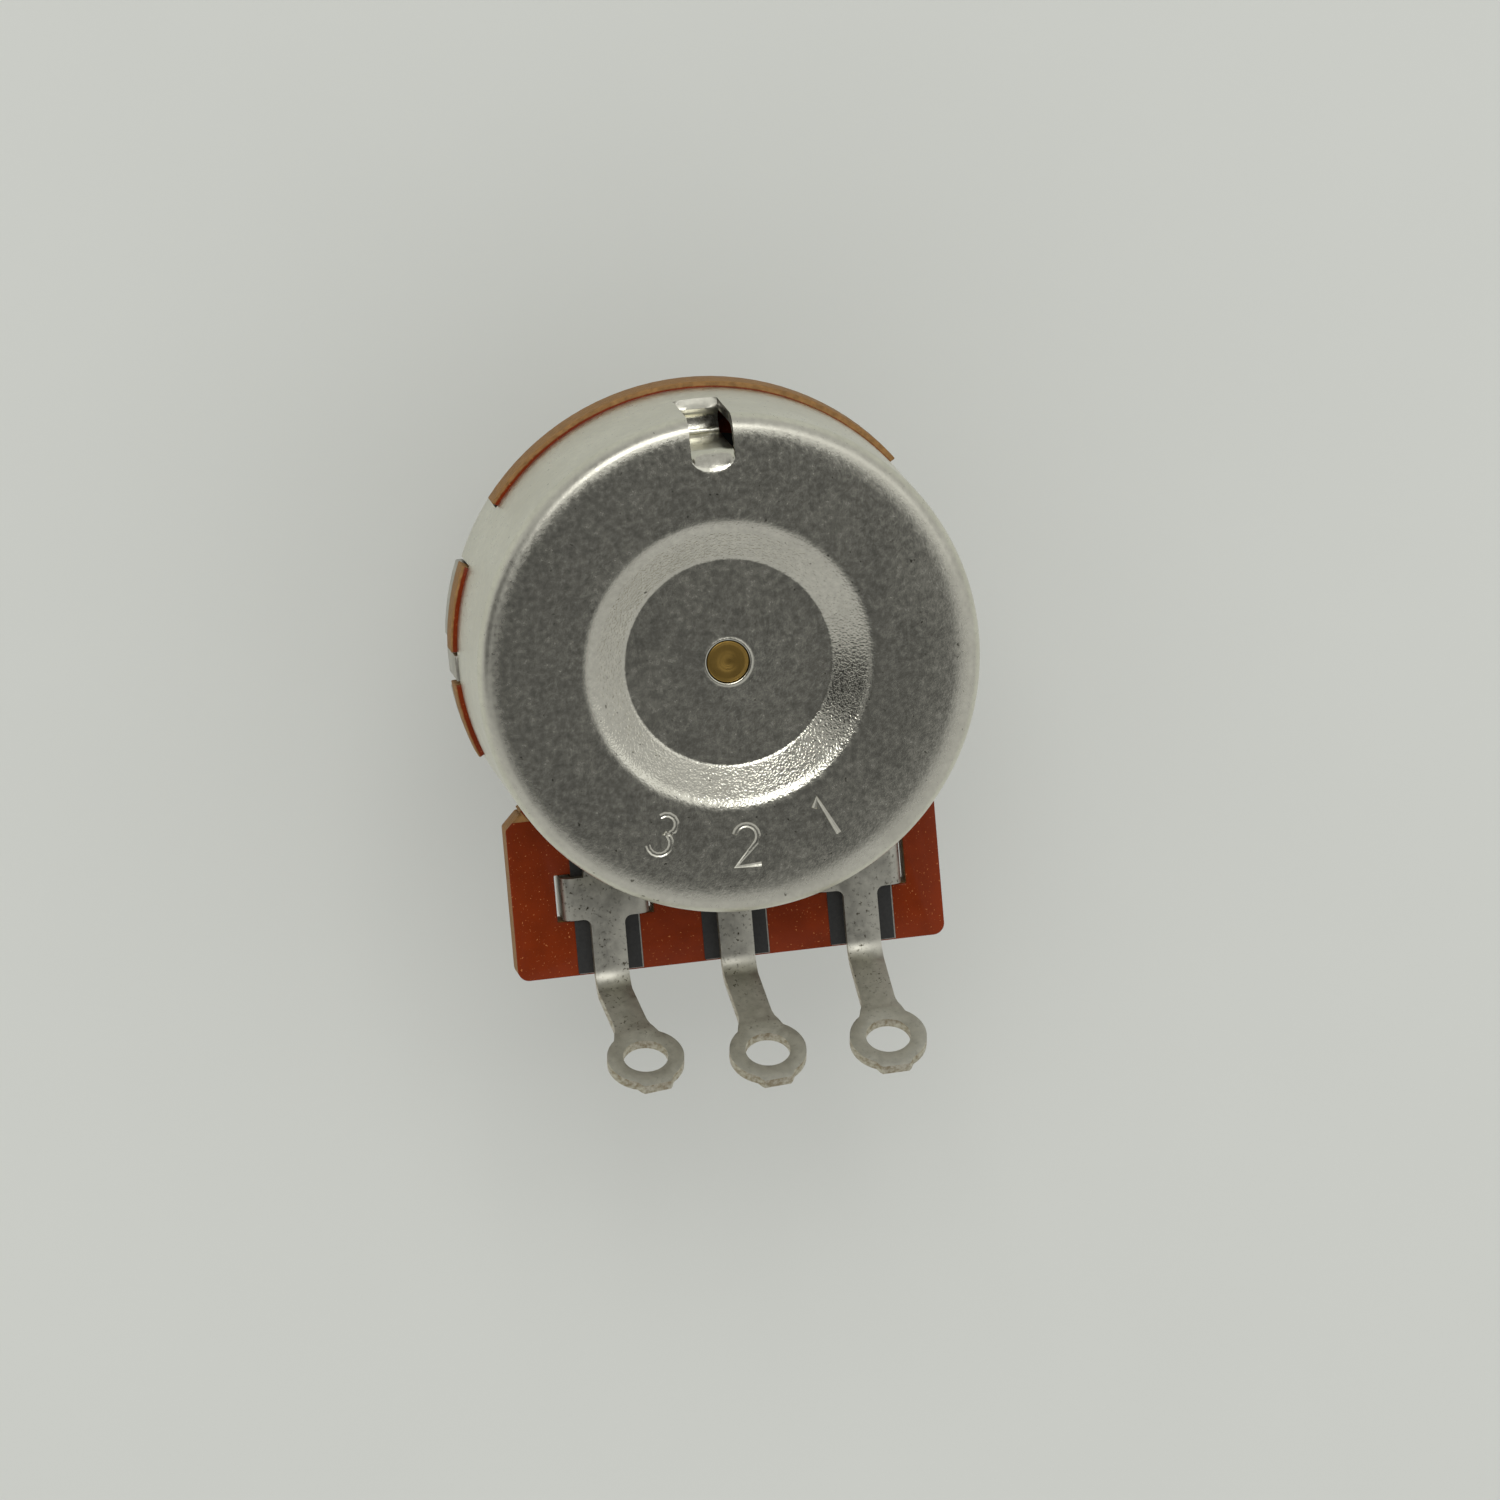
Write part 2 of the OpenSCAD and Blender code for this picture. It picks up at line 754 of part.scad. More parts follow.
module thrust_washer() {
    color(steel)
        translate([0, 0, washer_z])
            linear_extrude(washer_t)
                difference() {
                    circle(d = washer_d);
                    circle(r = journal_d / 2 + notch_gap);
                }
}

module retaining_ring() {
    color(steel)
        translate([0, 0, ring_z])
            linear_extrude(ring_t)
                difference() {
                    circle(d = ring_d);
                    circle(r = groove_d / 2 + seat_gap);
                    translate([-ring_mouth / 2, 0])
                        square([ring_mouth, ring_d]);
                }
}

// Outline of the shaft's seat with its two flats, grown by a clearance
module seat_outline(gap) {
    intersection() {
        circle(r = seat_d / 2 + gap);
        square([seat_flats + 2 * gap, seat_d + 2 * gap], center = true);
    }
}

module rotor() {
    color("black")
        difference() {
            union() {
                translate([0, 0, rotor_z])
                    cylinder(h = rotor_t, r = rotor_r);
                translate([0, 0, seat_z + seat_gap])
                    cylinder(h = stake_z - seat_z - 2 * seat_gap, d = hub_d);
                translate([0, 0, rotor_z])
                    linear_extrude(stop_lug_h)
                        intersection() {
                            difference() {
                                circle(r = stop_lug_r);
                                circle(r = hub_d / 2);
                            }
                            gap_wedge(2 * stop_lug_half);
                        }
            }
            translate([0, 0, seat_z])
                linear_extrude(stake_z - seat_z)
                    seat_outline(seat_gap);
        }
}

// Contact finger that slopes from the wiper's plate down to a track, seen from the side
module finger_section() {
    root_z = rotor_z - wiper_t;
    tip_z = print_z + print_t;
    polygon([
        [finger_l, root_z + wiper_t],
        [finger_l - wiper_t, root_z],
        [contact_w / 2, tip_z],
        [-contact_w / 2, tip_z],
        [-contact_w, tip_z + contact_w / 2],
        [-contact_w, tip_z + contact_w / 2 + wiper_t],
        [0, tip_z + wiper_t],
        [finger_l - 2 * wiper_t, root_z + wiper_t]
    ]);
}

module wiper_spring() {
    color("gold") {
        translate([0, 0, rotor_z - wiper_t])
            linear_extrude(wiper_t)
                intersection() {
                    difference() {
                        circle(r = track_r + finger_w / 2);
                        circle(r = collector_r - finger_w / 2);
                    }
                    rotate(180)
                        gap_wedge(finger_sweep);
                }
        for (r = [collector_r, track_r], side = [0, 1])
            mirror([side, 0, 0])
                rotate(finger_sweep / 2)
                    translate([-finger_l / 2, r + finger_w / 2, 0])
                        rotate([90, 0, 0])
                            linear_extrude(finger_w)
                                finger_section();
    }
}

rear_cover();
front_plate();
bushing();
element_board();
resistive_track();
collector_ring();
lead_left();
lead_middle();
lead_right();
terminal_left();
terminal_middle();
terminal_right();
shaft();
thrust_washer();
retaining_ring();
rotor();
wiper_spring();
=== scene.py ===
import math

import bmesh
import bpy
from bpy.props import FloatProperty, FloatVectorProperty, PointerProperty
from mathutils import Matrix, Vector


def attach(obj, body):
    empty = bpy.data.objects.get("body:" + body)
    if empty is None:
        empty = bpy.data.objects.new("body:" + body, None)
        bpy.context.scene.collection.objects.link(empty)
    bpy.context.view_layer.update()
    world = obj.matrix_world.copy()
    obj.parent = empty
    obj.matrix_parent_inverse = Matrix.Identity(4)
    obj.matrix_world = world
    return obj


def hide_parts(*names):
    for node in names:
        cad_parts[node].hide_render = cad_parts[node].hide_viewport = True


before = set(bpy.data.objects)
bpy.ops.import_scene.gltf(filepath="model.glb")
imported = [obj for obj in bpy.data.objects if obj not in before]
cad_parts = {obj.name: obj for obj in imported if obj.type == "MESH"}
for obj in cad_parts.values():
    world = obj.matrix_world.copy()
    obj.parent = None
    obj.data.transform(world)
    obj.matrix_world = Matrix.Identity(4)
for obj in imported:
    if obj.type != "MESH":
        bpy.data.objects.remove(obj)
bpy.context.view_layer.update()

bl_info = {
    "name": "Panel potentiometer",
    "version": (1, 0, 0),
    "blender": (4, 5, 0),
    "location": "View3D > Sidebar > Potentiometer",
    "description": "Builds a 24 mm rotary potentiometer round its packed CAD model",
    "category": "Object",
}

MM = 0.001
TAU = 2 * math.pi

# Levels along the shaft axis, in millimetres from the panel seat
SHAFT_END_Z = -19.0
BOARD_Z = 2.0
PRINT_Z = 3.5
RELIEF_Z = 4.6
STRIP_FOOT_Z = 6.3
FLOOR_Z = 10.2
FACE_Z = 11.3

COVER_R = 12.0
HOLE_R = 1.03
TAB_ANGLES = (30, 150, 210, 330)


def linear(hex_colour):
    """Linear RGBA of an sRGB colour written as hex."""
    channels = [int(hex_colour[i:i + 2], 16) / 255 for i in (0, 2, 4)]
    return tuple(
        c / 12.92 if c <= 0.04045 else ((c + 0.055) / 1.055) ** 2.4 for c in channels
    ) + (1.0,)


def colour_property(name, description, hex_colour):
    return FloatVectorProperty(
        name=name, description=description, subtype="COLOR", size=4,
        min=0, max=1, default=linear(hex_colour),
    )


def length_property(name, description, millimetres):
    return FloatProperty(
        name=name, description=description, unit="LENGTH", subtype="DISTANCE",
        min=0, default=millimetres * MM, precision=5,
    )


class CoverSettings(bpy.types.PropertyGroup):
    """Sizes and colour of the drawn rear cover."""

    sheet: length_property("Sheet", "Thickness of the cover's sheet", 0.5)
    shoulder: length_property("Shoulder", "Outside radius of the shoulder", 0.8)
    crown: length_property("Crown", "Radius of the crown beside the shoulder", 5.0)
    edge: length_property("Edge", "Rounding of the sheet's cut edges", 0.06)
    tin: colour_property("Tin", "Colour of the tin plate", "E3E1D2")


class TerminalSettings(bpy.types.PropertyGroup):
    """Sizes and colour of the solder terminals."""

    sheet: length_property("Sheet", "Thickness of the terminals' sheet", 0.5)
    edge: length_property("Edge", "Rounding of the stamped edges", 0.07)
    tin: colour_property("Tin", "Colour of the dull tin coat", "CAC8BB")


class BodySettings(bpy.types.PropertyGroup):
    """Edges and colours of the board, the plate and the turned parts."""

    edge: length_property("Edge", "Rounding of the plain parts' edges", 0.06)
    pitch: length_property("Pitch", "Pitch of the bushing's thread", 0.794)
    board: colour_property("Board", "Colour of the board's varnished face", "7A2A04")
    board_edge: colour_property("Board edge", "Colour of the board's cut edge", "9C7444")
    ink: colour_property("Ink", "Colour of the printed carbon ink", "2B2B29")
    brass: colour_property("Brass", "Colour of the turned brass", "B3924E")
    nickel: colour_property("Nickel", "Colour of the bushing's nickel plate", "BFBAAC")
    steel: colour_property("Steel", "Colour of the plate's and the rings' steel", "BDBAAE")


class StageSettings(bpy.types.PropertyGroup):
    """Backdrop and light."""

    backdrop: colour_property("Backdrop", "Colour of the floor's card", "CACCC6")


# Mesh helpers. Shapes are modelled in millimetres and scaled when they are finished.

def arc(x, y, radius, start, end, steps):
    """Points of an arc, with its angles in degrees."""
    angles = [math.radians(start + (end - start) * i / steps) for i in range(steps + 1)]
    return [(x + radius * math.cos(a), y + radius * math.sin(a)) for a in angles]


def spin_line(bm, line, steps, closed=False):
    """Spins a line of (radius, height) points once round the Z axis."""
    verts = [bm.verts.new((r, 0, z)) for r, z in line]
    pairs = list(zip(verts, verts[1:])) + ([(verts[-1], verts[0])] if closed else [])
    edges = [bm.edges.new(pair) for pair in pairs]
    bmesh.ops.spin(
        bm, geom=verts + edges, cent=(0, 0, 0), axis=(0, 0, 1),
        angle=TAU, steps=steps, use_merge=True,
    )
    bmesh.ops.remove_doubles(bm, verts=bm.verts[:], dist=1e-4)


def cut(bm, co, no, chosen):
    """Cuts the faces for which chosen(centre) is true along a plane."""
    faces = [f for f in bm.faces if chosen(f.calc_center_median())]
    edges = {e for f in faces for e in f.edges}
    verts = {v for f in faces for v in f.verts}
    bmesh.ops.bisect_plane(
        bm, geom=faces + list(edges) + list(verts), dist=1e-4, plane_co=co, plane_no=no,
    )


def drop(bm, chosen):
    """Deletes the faces whose centre is chosen."""
    faces = [f for f in bm.faces if chosen(f.calc_center_median())]
    bmesh.ops.delete(bm, geom=faces, context="FACES")


def spot(co):
    """A point rounded to a hundredth of a millimetre, to find it again after a change."""
    return tuple(round(c, 2) for c in co)


def rim(bm, chosen):
    """Boundary edges with both ends chosen."""
    return [e for e in bm.edges if e.is_boundary and all(chosen(v.co) for v in e.verts)]


def extend(bm, edges, moves):
    """Extrudes a sheet's edge through a list of moves, and returns the last edge."""
    for move in moves:
        made = bmesh.ops.extrude_edge_only(bm, edges=edges)["geom"]
        edges = [g for g in made if isinstance(g, bmesh.types.BMEdge)]
        verts = [g for g in made if isinstance(g, bmesh.types.BMVert)]
        move(verts)
    return edges


def shift_by(delta):
    """A move for extend() that adds the same vector to each vertex."""
    def move(verts):
        for v in verts:
            v.co += Vector(delta)
    return move


def thicken(bm, thickness):
    """Gives a sheet its thickness below the drawn skin; its cut edges take slot 1."""
    bmesh.ops.recalc_face_normals(bm, faces=bm.faces[:])
    level = [f for f in bm.faces if abs(f.normal.z) > 0.9]
    if max(level, key=lambda f: f.calc_center_median().z).normal.z < 0:
        bmesh.ops.reverse_faces(bm, faces=bm.faces[:])
    skin = set(bm.verts)
    bmesh.ops.solidify(bm, geom=bm.faces[:], thickness=thickness)
    for face in bm.faces:
        if len({v in skin for v in face.verts}) == 2:
            face.material_index = 1
    bmesh.ops.recalc_face_normals(bm, faces=bm.faces[:])


def soften(bm, width, segments=2, above=35, chosen=None):
    """Bevels the edges that are sharper than an angle."""
    edges = [
        e for e in bm.edges
        if len(e.link_faces) == 2 and e.calc_face_angle(0) > math.radians(above)
        and (chosen is None or chosen(e))
    ]
    bmesh.ops.bevel(
        bm, geom=edges, offset=width, offset_type="OFFSET", affect="EDGES",
        segments=segments, profile=0.5, material=-1, clamp_overlap=True,
        loop_slide=True,
    )


def finish_piece(bm, name, body, material, nodes=(), smooth=40, edge=None):
    """Turns a mesh in millimetres into a piece of the model."""
    bmesh.ops.scale(bm, vec=(MM, MM, MM), verts=bm.verts[:])
    bmesh.ops.dissolve_degenerate(bm, dist=1e-8, edges=bm.edges[:])
    bmesh.ops.recalc_face_normals(bm, faces=bm.faces[:])
    mesh = bpy.data.meshes.new(name)
    bm.to_mesh(mesh)
    bm.free()
    mesh.shade_smooth()
    mesh.set_sharp_from_angle(angle=math.radians(smooth))
    mesh.materials.append(material)
    if edge:
        mesh.materials.append(edge)
    piece = bpy.data.objects.new(name, mesh)
    bpy.context.scene.collection.objects.link(piece)
    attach(piece, body)
    if nodes:
        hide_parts(*nodes)
    return piece


def merged_copy(node):
    """A merged copy of a CAD node's mesh, in millimetres, with its flat faces joined."""
    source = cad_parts[node]
    bm = bmesh.new()
    bm.from_mesh(source.data)
    bmesh.ops.scale(bm, vec=(1 / MM, 1 / MM, 1 / MM), verts=bm.verts[:])
    bmesh.ops.remove_doubles(bm, verts=bm.verts[:], dist=2e-3)
    bmesh.ops.dissolve_limit(
        bm, angle_limit=math.radians(0.5), use_dissolve_boundaries=False,
        verts=bm.verts[:], edges=bm.edges[:], delimit=set(),
    )
    return bm


def dress(node, material):
    """Gives a carried CAD node its material."""
    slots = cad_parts[node].material_slots
    for slot in slots:
        slot.material = material
    if not slots:
        raise RuntimeError("CAD node without a material slot: " + node)


# Materials. Pattern scales are one over the real size in metres.

MULTIPLY, ADD, LENGTH = ({"operation": kind} for kind in ("MULTIPLY", "ADD", "LENGTH"))


def new_material(name):
    material = bpy.data.materials.new(name)
    material.use_nodes = True
    tree = material.node_tree
    return material, tree, tree.nodes["Principled BSDF"]


def plug(tree, node, **inputs):
    """Fills a node's inputs, each with a socket or a value; in_0 stands for the first one."""
    for key, value in inputs.items():
        name = key.replace("_", " ")
        socket = node.inputs[int(name[3:])] if name.startswith("in ") else node.inputs[name]
        if isinstance(value, bpy.types.NodeSocket):
            tree.links.new(value, socket)
        else:
            socket.default_value = value


def add(tree, kind, settings=None, **inputs):
    """Adds a node with its own settings and its inputs."""
    node = tree.nodes.new(kind)
    for key, value in (settings or {}).items():
        setattr(node, key, value)
    plug(tree, node, **inputs)
    return node


def spots(tree, place, size_mm, low, high, detail=2.0, stretch=None):
    """A noise of a real size whose range low to high becomes 0 to 1."""
    if stretch:
        place = add(tree, "ShaderNodeMapping", Vector=place, Scale=stretch).outputs[0]
    noise = add(
        tree, "ShaderNodeTexNoise", Vector=place, Scale=1 / (size_mm * MM), Detail=detail,
        Roughness=0.6,
    )
    return add(
        tree, "ShaderNodeMapRange", Value=noise.outputs["Fac"], From_Min=low, From_Max=high,
    ).outputs[0]


def darker(colour, share):
    """A linear colour at a share of its light."""
    return tuple(c * share for c in colour[:3]) + (1,)


def coats(tree, colour, *layers):
    """Lays tones over a colour in turn, each by its share."""
    for share, tone in layers:
        colour = add(
            tree, "ShaderNodeMix", {"data_type": "RGBA"}, in_0=share, in_6=colour, in_7=tone,
        ).outputs[2]
    return colour


def surface(tree, shader, colour, rough, relief, depth_mm, strength, metal=1.0):
    """Gives the shader its colour, its gloss, and a relief of a real depth."""
    relief = add(
        tree, "ShaderNodeBump", Strength=strength, Distance=depth_mm * MM, Height=relief,
    )
    plug(
        tree, shader, Base_Color=colour, Roughness=rough, Metallic=metal,
        Normal=relief.outputs[0],
    )


def tin_plated_steel(settings):
    """Bright tin plate on drawn steel: a satin grey metal, finely mottled where the plating's
    crystals differ in gloss, with scratches and specks. The punch left the recess's wall
    smoother, so it mirrors more and its pits sparkle."""
    material, tree, shader = new_material("tin plated drawn steel")
    place = add(tree, "ShaderNodeTexCoord").outputs["Object"]
    mottle = spots(tree, place, 0.28, 0.27, 0.73, detail=5)
    cloud = spots(tree, place, 2.5, 0.3, 0.7, detail=3)
    scratch = spots(tree, place, 0.25, 0.66, 0.74, stretch=(1.0, 0.06, 1.0))
    speck = spots(tree, place, 0.3, 0.71, 0.76)
    facet = spots(tree, place, 0.12, 0.35, 0.65, detail=1)
    flat = add(tree, "ShaderNodeVectorMath", MULTIPLY, in_0=place, in_1=(1, 1, 0)).outputs[0]
    radius = add(tree, "ShaderNodeVectorMath", LENGTH, in_0=flat).outputs["Value"]
    # Radii between which the recess's wall begins and ends, and the cover's wall begins
    inner, outer, wall = (
        add(
            tree, "ShaderNodeMapRange", Value=radius, From_Min=start * MM, From_Max=end * MM,
        ).outputs[0]
        for start, end in ((4.9, 5.1), (6.9, 6.5), (11.0, 11.4))
    )
    drawn = add(tree, "ShaderNodeMath", MULTIPLY, in_0=inner, in_1=outer).outputs[0]
    faint = add(tree, "ShaderNodeMath", MULTIPLY, in_0=cloud, in_1=0.22).outputs[0]
    colour = coats(
        tree, darker(settings.tin, 0.82), (mottle, settings.tin), (faint, linear("A9A698")),
        (speck, linear("8A887C")),
    )
    rough = add(tree, "ShaderNodeMapRange", Value=mottle, To_Min=0.13, To_Max=0.27).outputs[0]
    cloud = add(tree, "ShaderNodeMapRange", Value=cloud, To_Min=-0.015, To_Max=0.04).outputs[0]
    rough = add(tree, "ShaderNodeMath", ADD, in_0=rough, in_1=cloud).outputs[0]
    for share, change in ((scratch, -0.05), (drawn, -0.08), (wall, 0.12)):
        change = add(tree, "ShaderNodeMath", MULTIPLY, in_0=share, in_1=change).outputs[0]
        rough = add(tree, "ShaderNodeMath", ADD, in_0=rough, in_1=change).outputs[0]
    share = add(tree, "ShaderNodeMapRange", Value=drawn, To_Min=0.15, To_Max=1.0).outputs[0]
    grain = add(tree, "ShaderNodeMath", MULTIPLY, in_0=facet, in_1=share).outputs[0]
    surface(tree, shader, colour, rough, grain, 0.012, 0.9)
    return material


def dull_tin(settings):
    """Old dipped tin on brass strip: a dull greenish grey metal with dark handling specks
    and fine lines along the strip, duller on the bend's eyelet side."""
    material, tree, shader = new_material("dull dipped tin")
    place = add(tree, "ShaderNodeTexCoord").outputs["Object"]
    mottle = spots(tree, place, 0.35, 0.3, 0.7, detail=6)
    speck = spots(tree, place, 0.16, 0.57, 0.68, detail=4)
    cluster = spots(tree, place, 1.2, 0.4, 0.6)
    lines = spots(tree, place, 0.3, 0.4, 0.65, stretch=(1.0, 0.15, 1.0))
    along = add(tree, "ShaderNodeSeparateXYZ", Vector=place).outputs[1]
    handled = add(
        tree, "ShaderNodeMapRange", Value=along, From_Min=-18.6 * MM, From_Max=-17.6 * MM,
        To_Min=0.2, To_Max=1.0,
    ).outputs[0]
    for share in (cluster, handled):
        speck = add(tree, "ShaderNodeMath", MULTIPLY, in_0=speck, in_1=share).outputs[0]
    colour = coats(
        tree, darker(settings.tin, 0.78), (mottle, settings.tin), (speck, linear("45402F")),
    )
    rough = add(tree, "ShaderNodeMapRange", Value=mottle, To_Min=0.36, To_Max=0.48).outputs[0]
    dipped = add(
        tree, "ShaderNodeMapRange", Value=along, From_Min=-16.4 * MM, From_Max=-17.0 * MM,
        To_Min=0.0, To_Max=0.14,
    ).outputs[0]
    rough = add(tree, "ShaderNodeMath", ADD, in_0=rough, in_1=dipped).outputs[0]
    surface(tree, shader, colour, rough, lines, 0.004, 0.5)
    return material


def sheared_edge(name, light, dark):
    """The cut edge of a stamped sheet: bare metal, rough where it tore and streaked by the
    die across its thickness."""
    material, tree, shader = new_material(name)
    place = add(tree, "ShaderNodeTexCoord").outputs["Object"]
    streak = spots(tree, place, 0.2, 0.35, 0.65, detail=3, stretch=(1.0, 1.0, 0.3))
    colour = coats(tree, linear(dark), (streak, linear(light)))
    rough = add(tree, "ShaderNodeMapRange", Value=streak, To_Min=0.55, To_Max=0.35).outputs[0]
    surface(tree, shader, colour, rough, streak, 0.012, 0.6)
    return material


def satin_steel(name, colour):
    """Old tin plated or plain rolled steel: a slightly warm, satin grey with soft clouds."""
    material, tree, shader = new_material(name)
    place = add(tree, "ShaderNodeTexCoord").outputs["Object"]
    cloud = spots(tree, place, 0.8, 0.35, 0.65, detail=4)
    colour = coats(tree, darker(colour, 0.7), (cloud, colour))
    rough = add(tree, "ShaderNodeMapRange", Value=cloud, To_Min=0.34, To_Max=0.46).outputs[0]
    surface(tree, shader, colour, rough, cloud, 0.003, 0.5)
    return material


def turned_brass(name, colour, tarnished):
    """Free-cutting brass as turned: metal with fine tool rings round the axis, which show
    through a nickel plate too. Bare brass is yellow and tarnishes darker than nickel."""
    material, tree, shader = new_material(name)
    place = add(tree, "ShaderNodeTexCoord").outputs["Object"]
    axes = add(tree, "ShaderNodeSeparateXYZ", Vector=place)
    flat = add(tree, "ShaderNodeCombineXYZ", X=axes.outputs[0], Y=axes.outputs[1]).outputs[0]
    radius = add(tree, "ShaderNodeVectorMath", LENGTH, in_0=flat).outputs["Value"]
    along = add(tree, "ShaderNodeCombineXYZ", X=radius, Y=axes.outputs[2]).outputs[0]
    rings = spots(tree, along, 0.12, 0.3, 0.7)
    tarnish = spots(tree, place, 0.9, 0.35, 0.65, detail=4)
    colour = coats(tree, colour, (tarnish, darker(colour, tarnished)))
    rough = add(tree, "ShaderNodeMapRange", Value=tarnish, To_Min=0.26, To_Max=0.4).outputs[0]
    surface(tree, shader, colour, rough, rings, 0.006, 0.7)
    return material


def phenolic_laminate(settings):
    """Varnished paper phenolic: a glossy dark red-brown face over a fibrous tan core that
    shows on the punched edges, and on the round part's rim where the varnish chipped."""
    material, tree, shader = new_material("phenolic paper laminate")
    place = add(tree, "ShaderNodeTexCoord").outputs["Object"]
    axes = add(tree, "ShaderNodeSeparateXYZ", Vector=place)
    middle = (BOARD_Z + PRINT_Z) / 2 * MM
    half = (PRINT_Z - BOARD_Z) / 2 * MM
    off = add(
        tree, "ShaderNodeMath", {"operation": "SUBTRACT"}, in_0=axes.outputs[2], in_1=middle,
    ).outputs[0]
    off = add(tree, "ShaderNodeMath", {"operation": "ABSOLUTE"}, in_0=off).outputs[0]
    edge = add(
        tree, "ShaderNodeMapRange", Value=off, From_Min=half - 0.05 * MM,
        From_Max=half - 0.09 * MM,
    ).outputs[0]
    flat = add(tree, "ShaderNodeVectorMath", MULTIPLY, in_0=place, in_1=(1, 1, 0)).outputs[0]
    flat = add(
        tree, "ShaderNodeVectorMath", ADD, in_0=flat, in_1=(0.08 * MM, 0.06 * MM, 0),
    ).outputs[0]
    radius = add(tree, "ShaderNodeVectorMath", LENGTH, in_0=flat).outputs["Value"]
    ragged = spots(tree, place, 0.3, 0.2, 0.8, detail=3)
    ragged = add(
        tree, "ShaderNodeMapRange", Value=ragged, To_Min=-0.02 * MM, To_Max=0.02 * MM,
    ).outputs[0]
    radius = add(tree, "ShaderNodeMath", ADD, in_0=radius, in_1=ragged).outputs[0]
    worn = add(
        tree, "ShaderNodeMapRange", Value=radius, From_Min=12.10 * MM, From_Max=12.15 * MM,
    ).outputs[0]
    above = add(
        tree, "ShaderNodeMath", {"operation": "GREATER_THAN"}, in_0=axes.outputs[1],
        in_1=-8 * MM,
    ).outputs[0]
    worn = add(tree, "ShaderNodeMath", MULTIPLY, in_0=worn, in_1=above).outputs[0]
    edge = add(
        tree, "ShaderNodeMath", {"operation": "MAXIMUM"}, in_0=edge, in_1=worn,
    ).outputs[0]
    cloud = spots(tree, place, 1.8, 0.3, 0.7, detail=4)
    speck = spots(tree, place, 0.12, 0.66, 0.72)
    fibre = spots(tree, place, 0.35, 0.3, 0.7, detail=4, stretch=(1.0, 1.0, 4.0))
    core = coats(tree, settings.board_edge, (fibre, darker(settings.board_edge, 0.55)))
    colour = coats(
        tree, settings.board, (cloud, darker(settings.board, 0.72)), (speck, linear("B06A3A")),
        (edge, core),
    )
    rough = add(tree, "ShaderNodeMapRange", Value=edge, To_Min=0.22, To_Max=0.6).outputs[0]
    fuzz = add(tree, "ShaderNodeMath", MULTIPLY, in_0=fibre, in_1=edge).outputs[0]
    surface(tree, shader, colour, rough, fuzz, 0.03, 0.6, metal=0.0)
    plug(tree, shader, IOR=1.5, Specular_IOR_Level=0.2)
    return material


def printed_ink(name, colour, rough, metal=0.0):
    """Screen printed ink: matte, with the faint grain of its filler."""
    material, tree, shader = new_material(name)
    place = add(tree, "ShaderNodeTexCoord").outputs["Object"]
    grain = spots(tree, place, 0.15, 0.35, 0.65, detail=3)
    colour = coats(tree, darker(colour, 0.7), (grain, colour))
    surface(tree, shader, colour, rough, grain, 0.004, 0.5, metal)
    return material


def moulded_phenolic(colour):
    """Filled phenolic moulding: nearly black, satin, with a fine moulded grain."""
    material, tree, shader = new_material("moulded black phenolic")
    place = add(tree, "ShaderNodeTexCoord").outputs["Object"]
    grain = spots(tree, place, 0.2, 0.35, 0.65, detail=3)
    colour = coats(tree, darker(colour, 0.7), (grain, colour))
    surface(tree, shader, colour, 0.45, grain, 0.01, 0.4, metal=0.0)
    return material


def spring_bronze():
    """Rolled phosphor bronze: a reddish gold metal with fine rolling lines."""
    material, tree, shader = new_material("phosphor bronze")
    place = add(tree, "ShaderNodeTexCoord").outputs["Object"]
    lines = spots(tree, place, 0.2, 0.3, 0.7, stretch=(0.1, 1.0, 1.0))
    colour = coats(tree, linear("C08A50"), (lines, linear("A87440")))
    surface(tree, shader, colour, 0.3, lines, 0.003, 0.5)
    return material


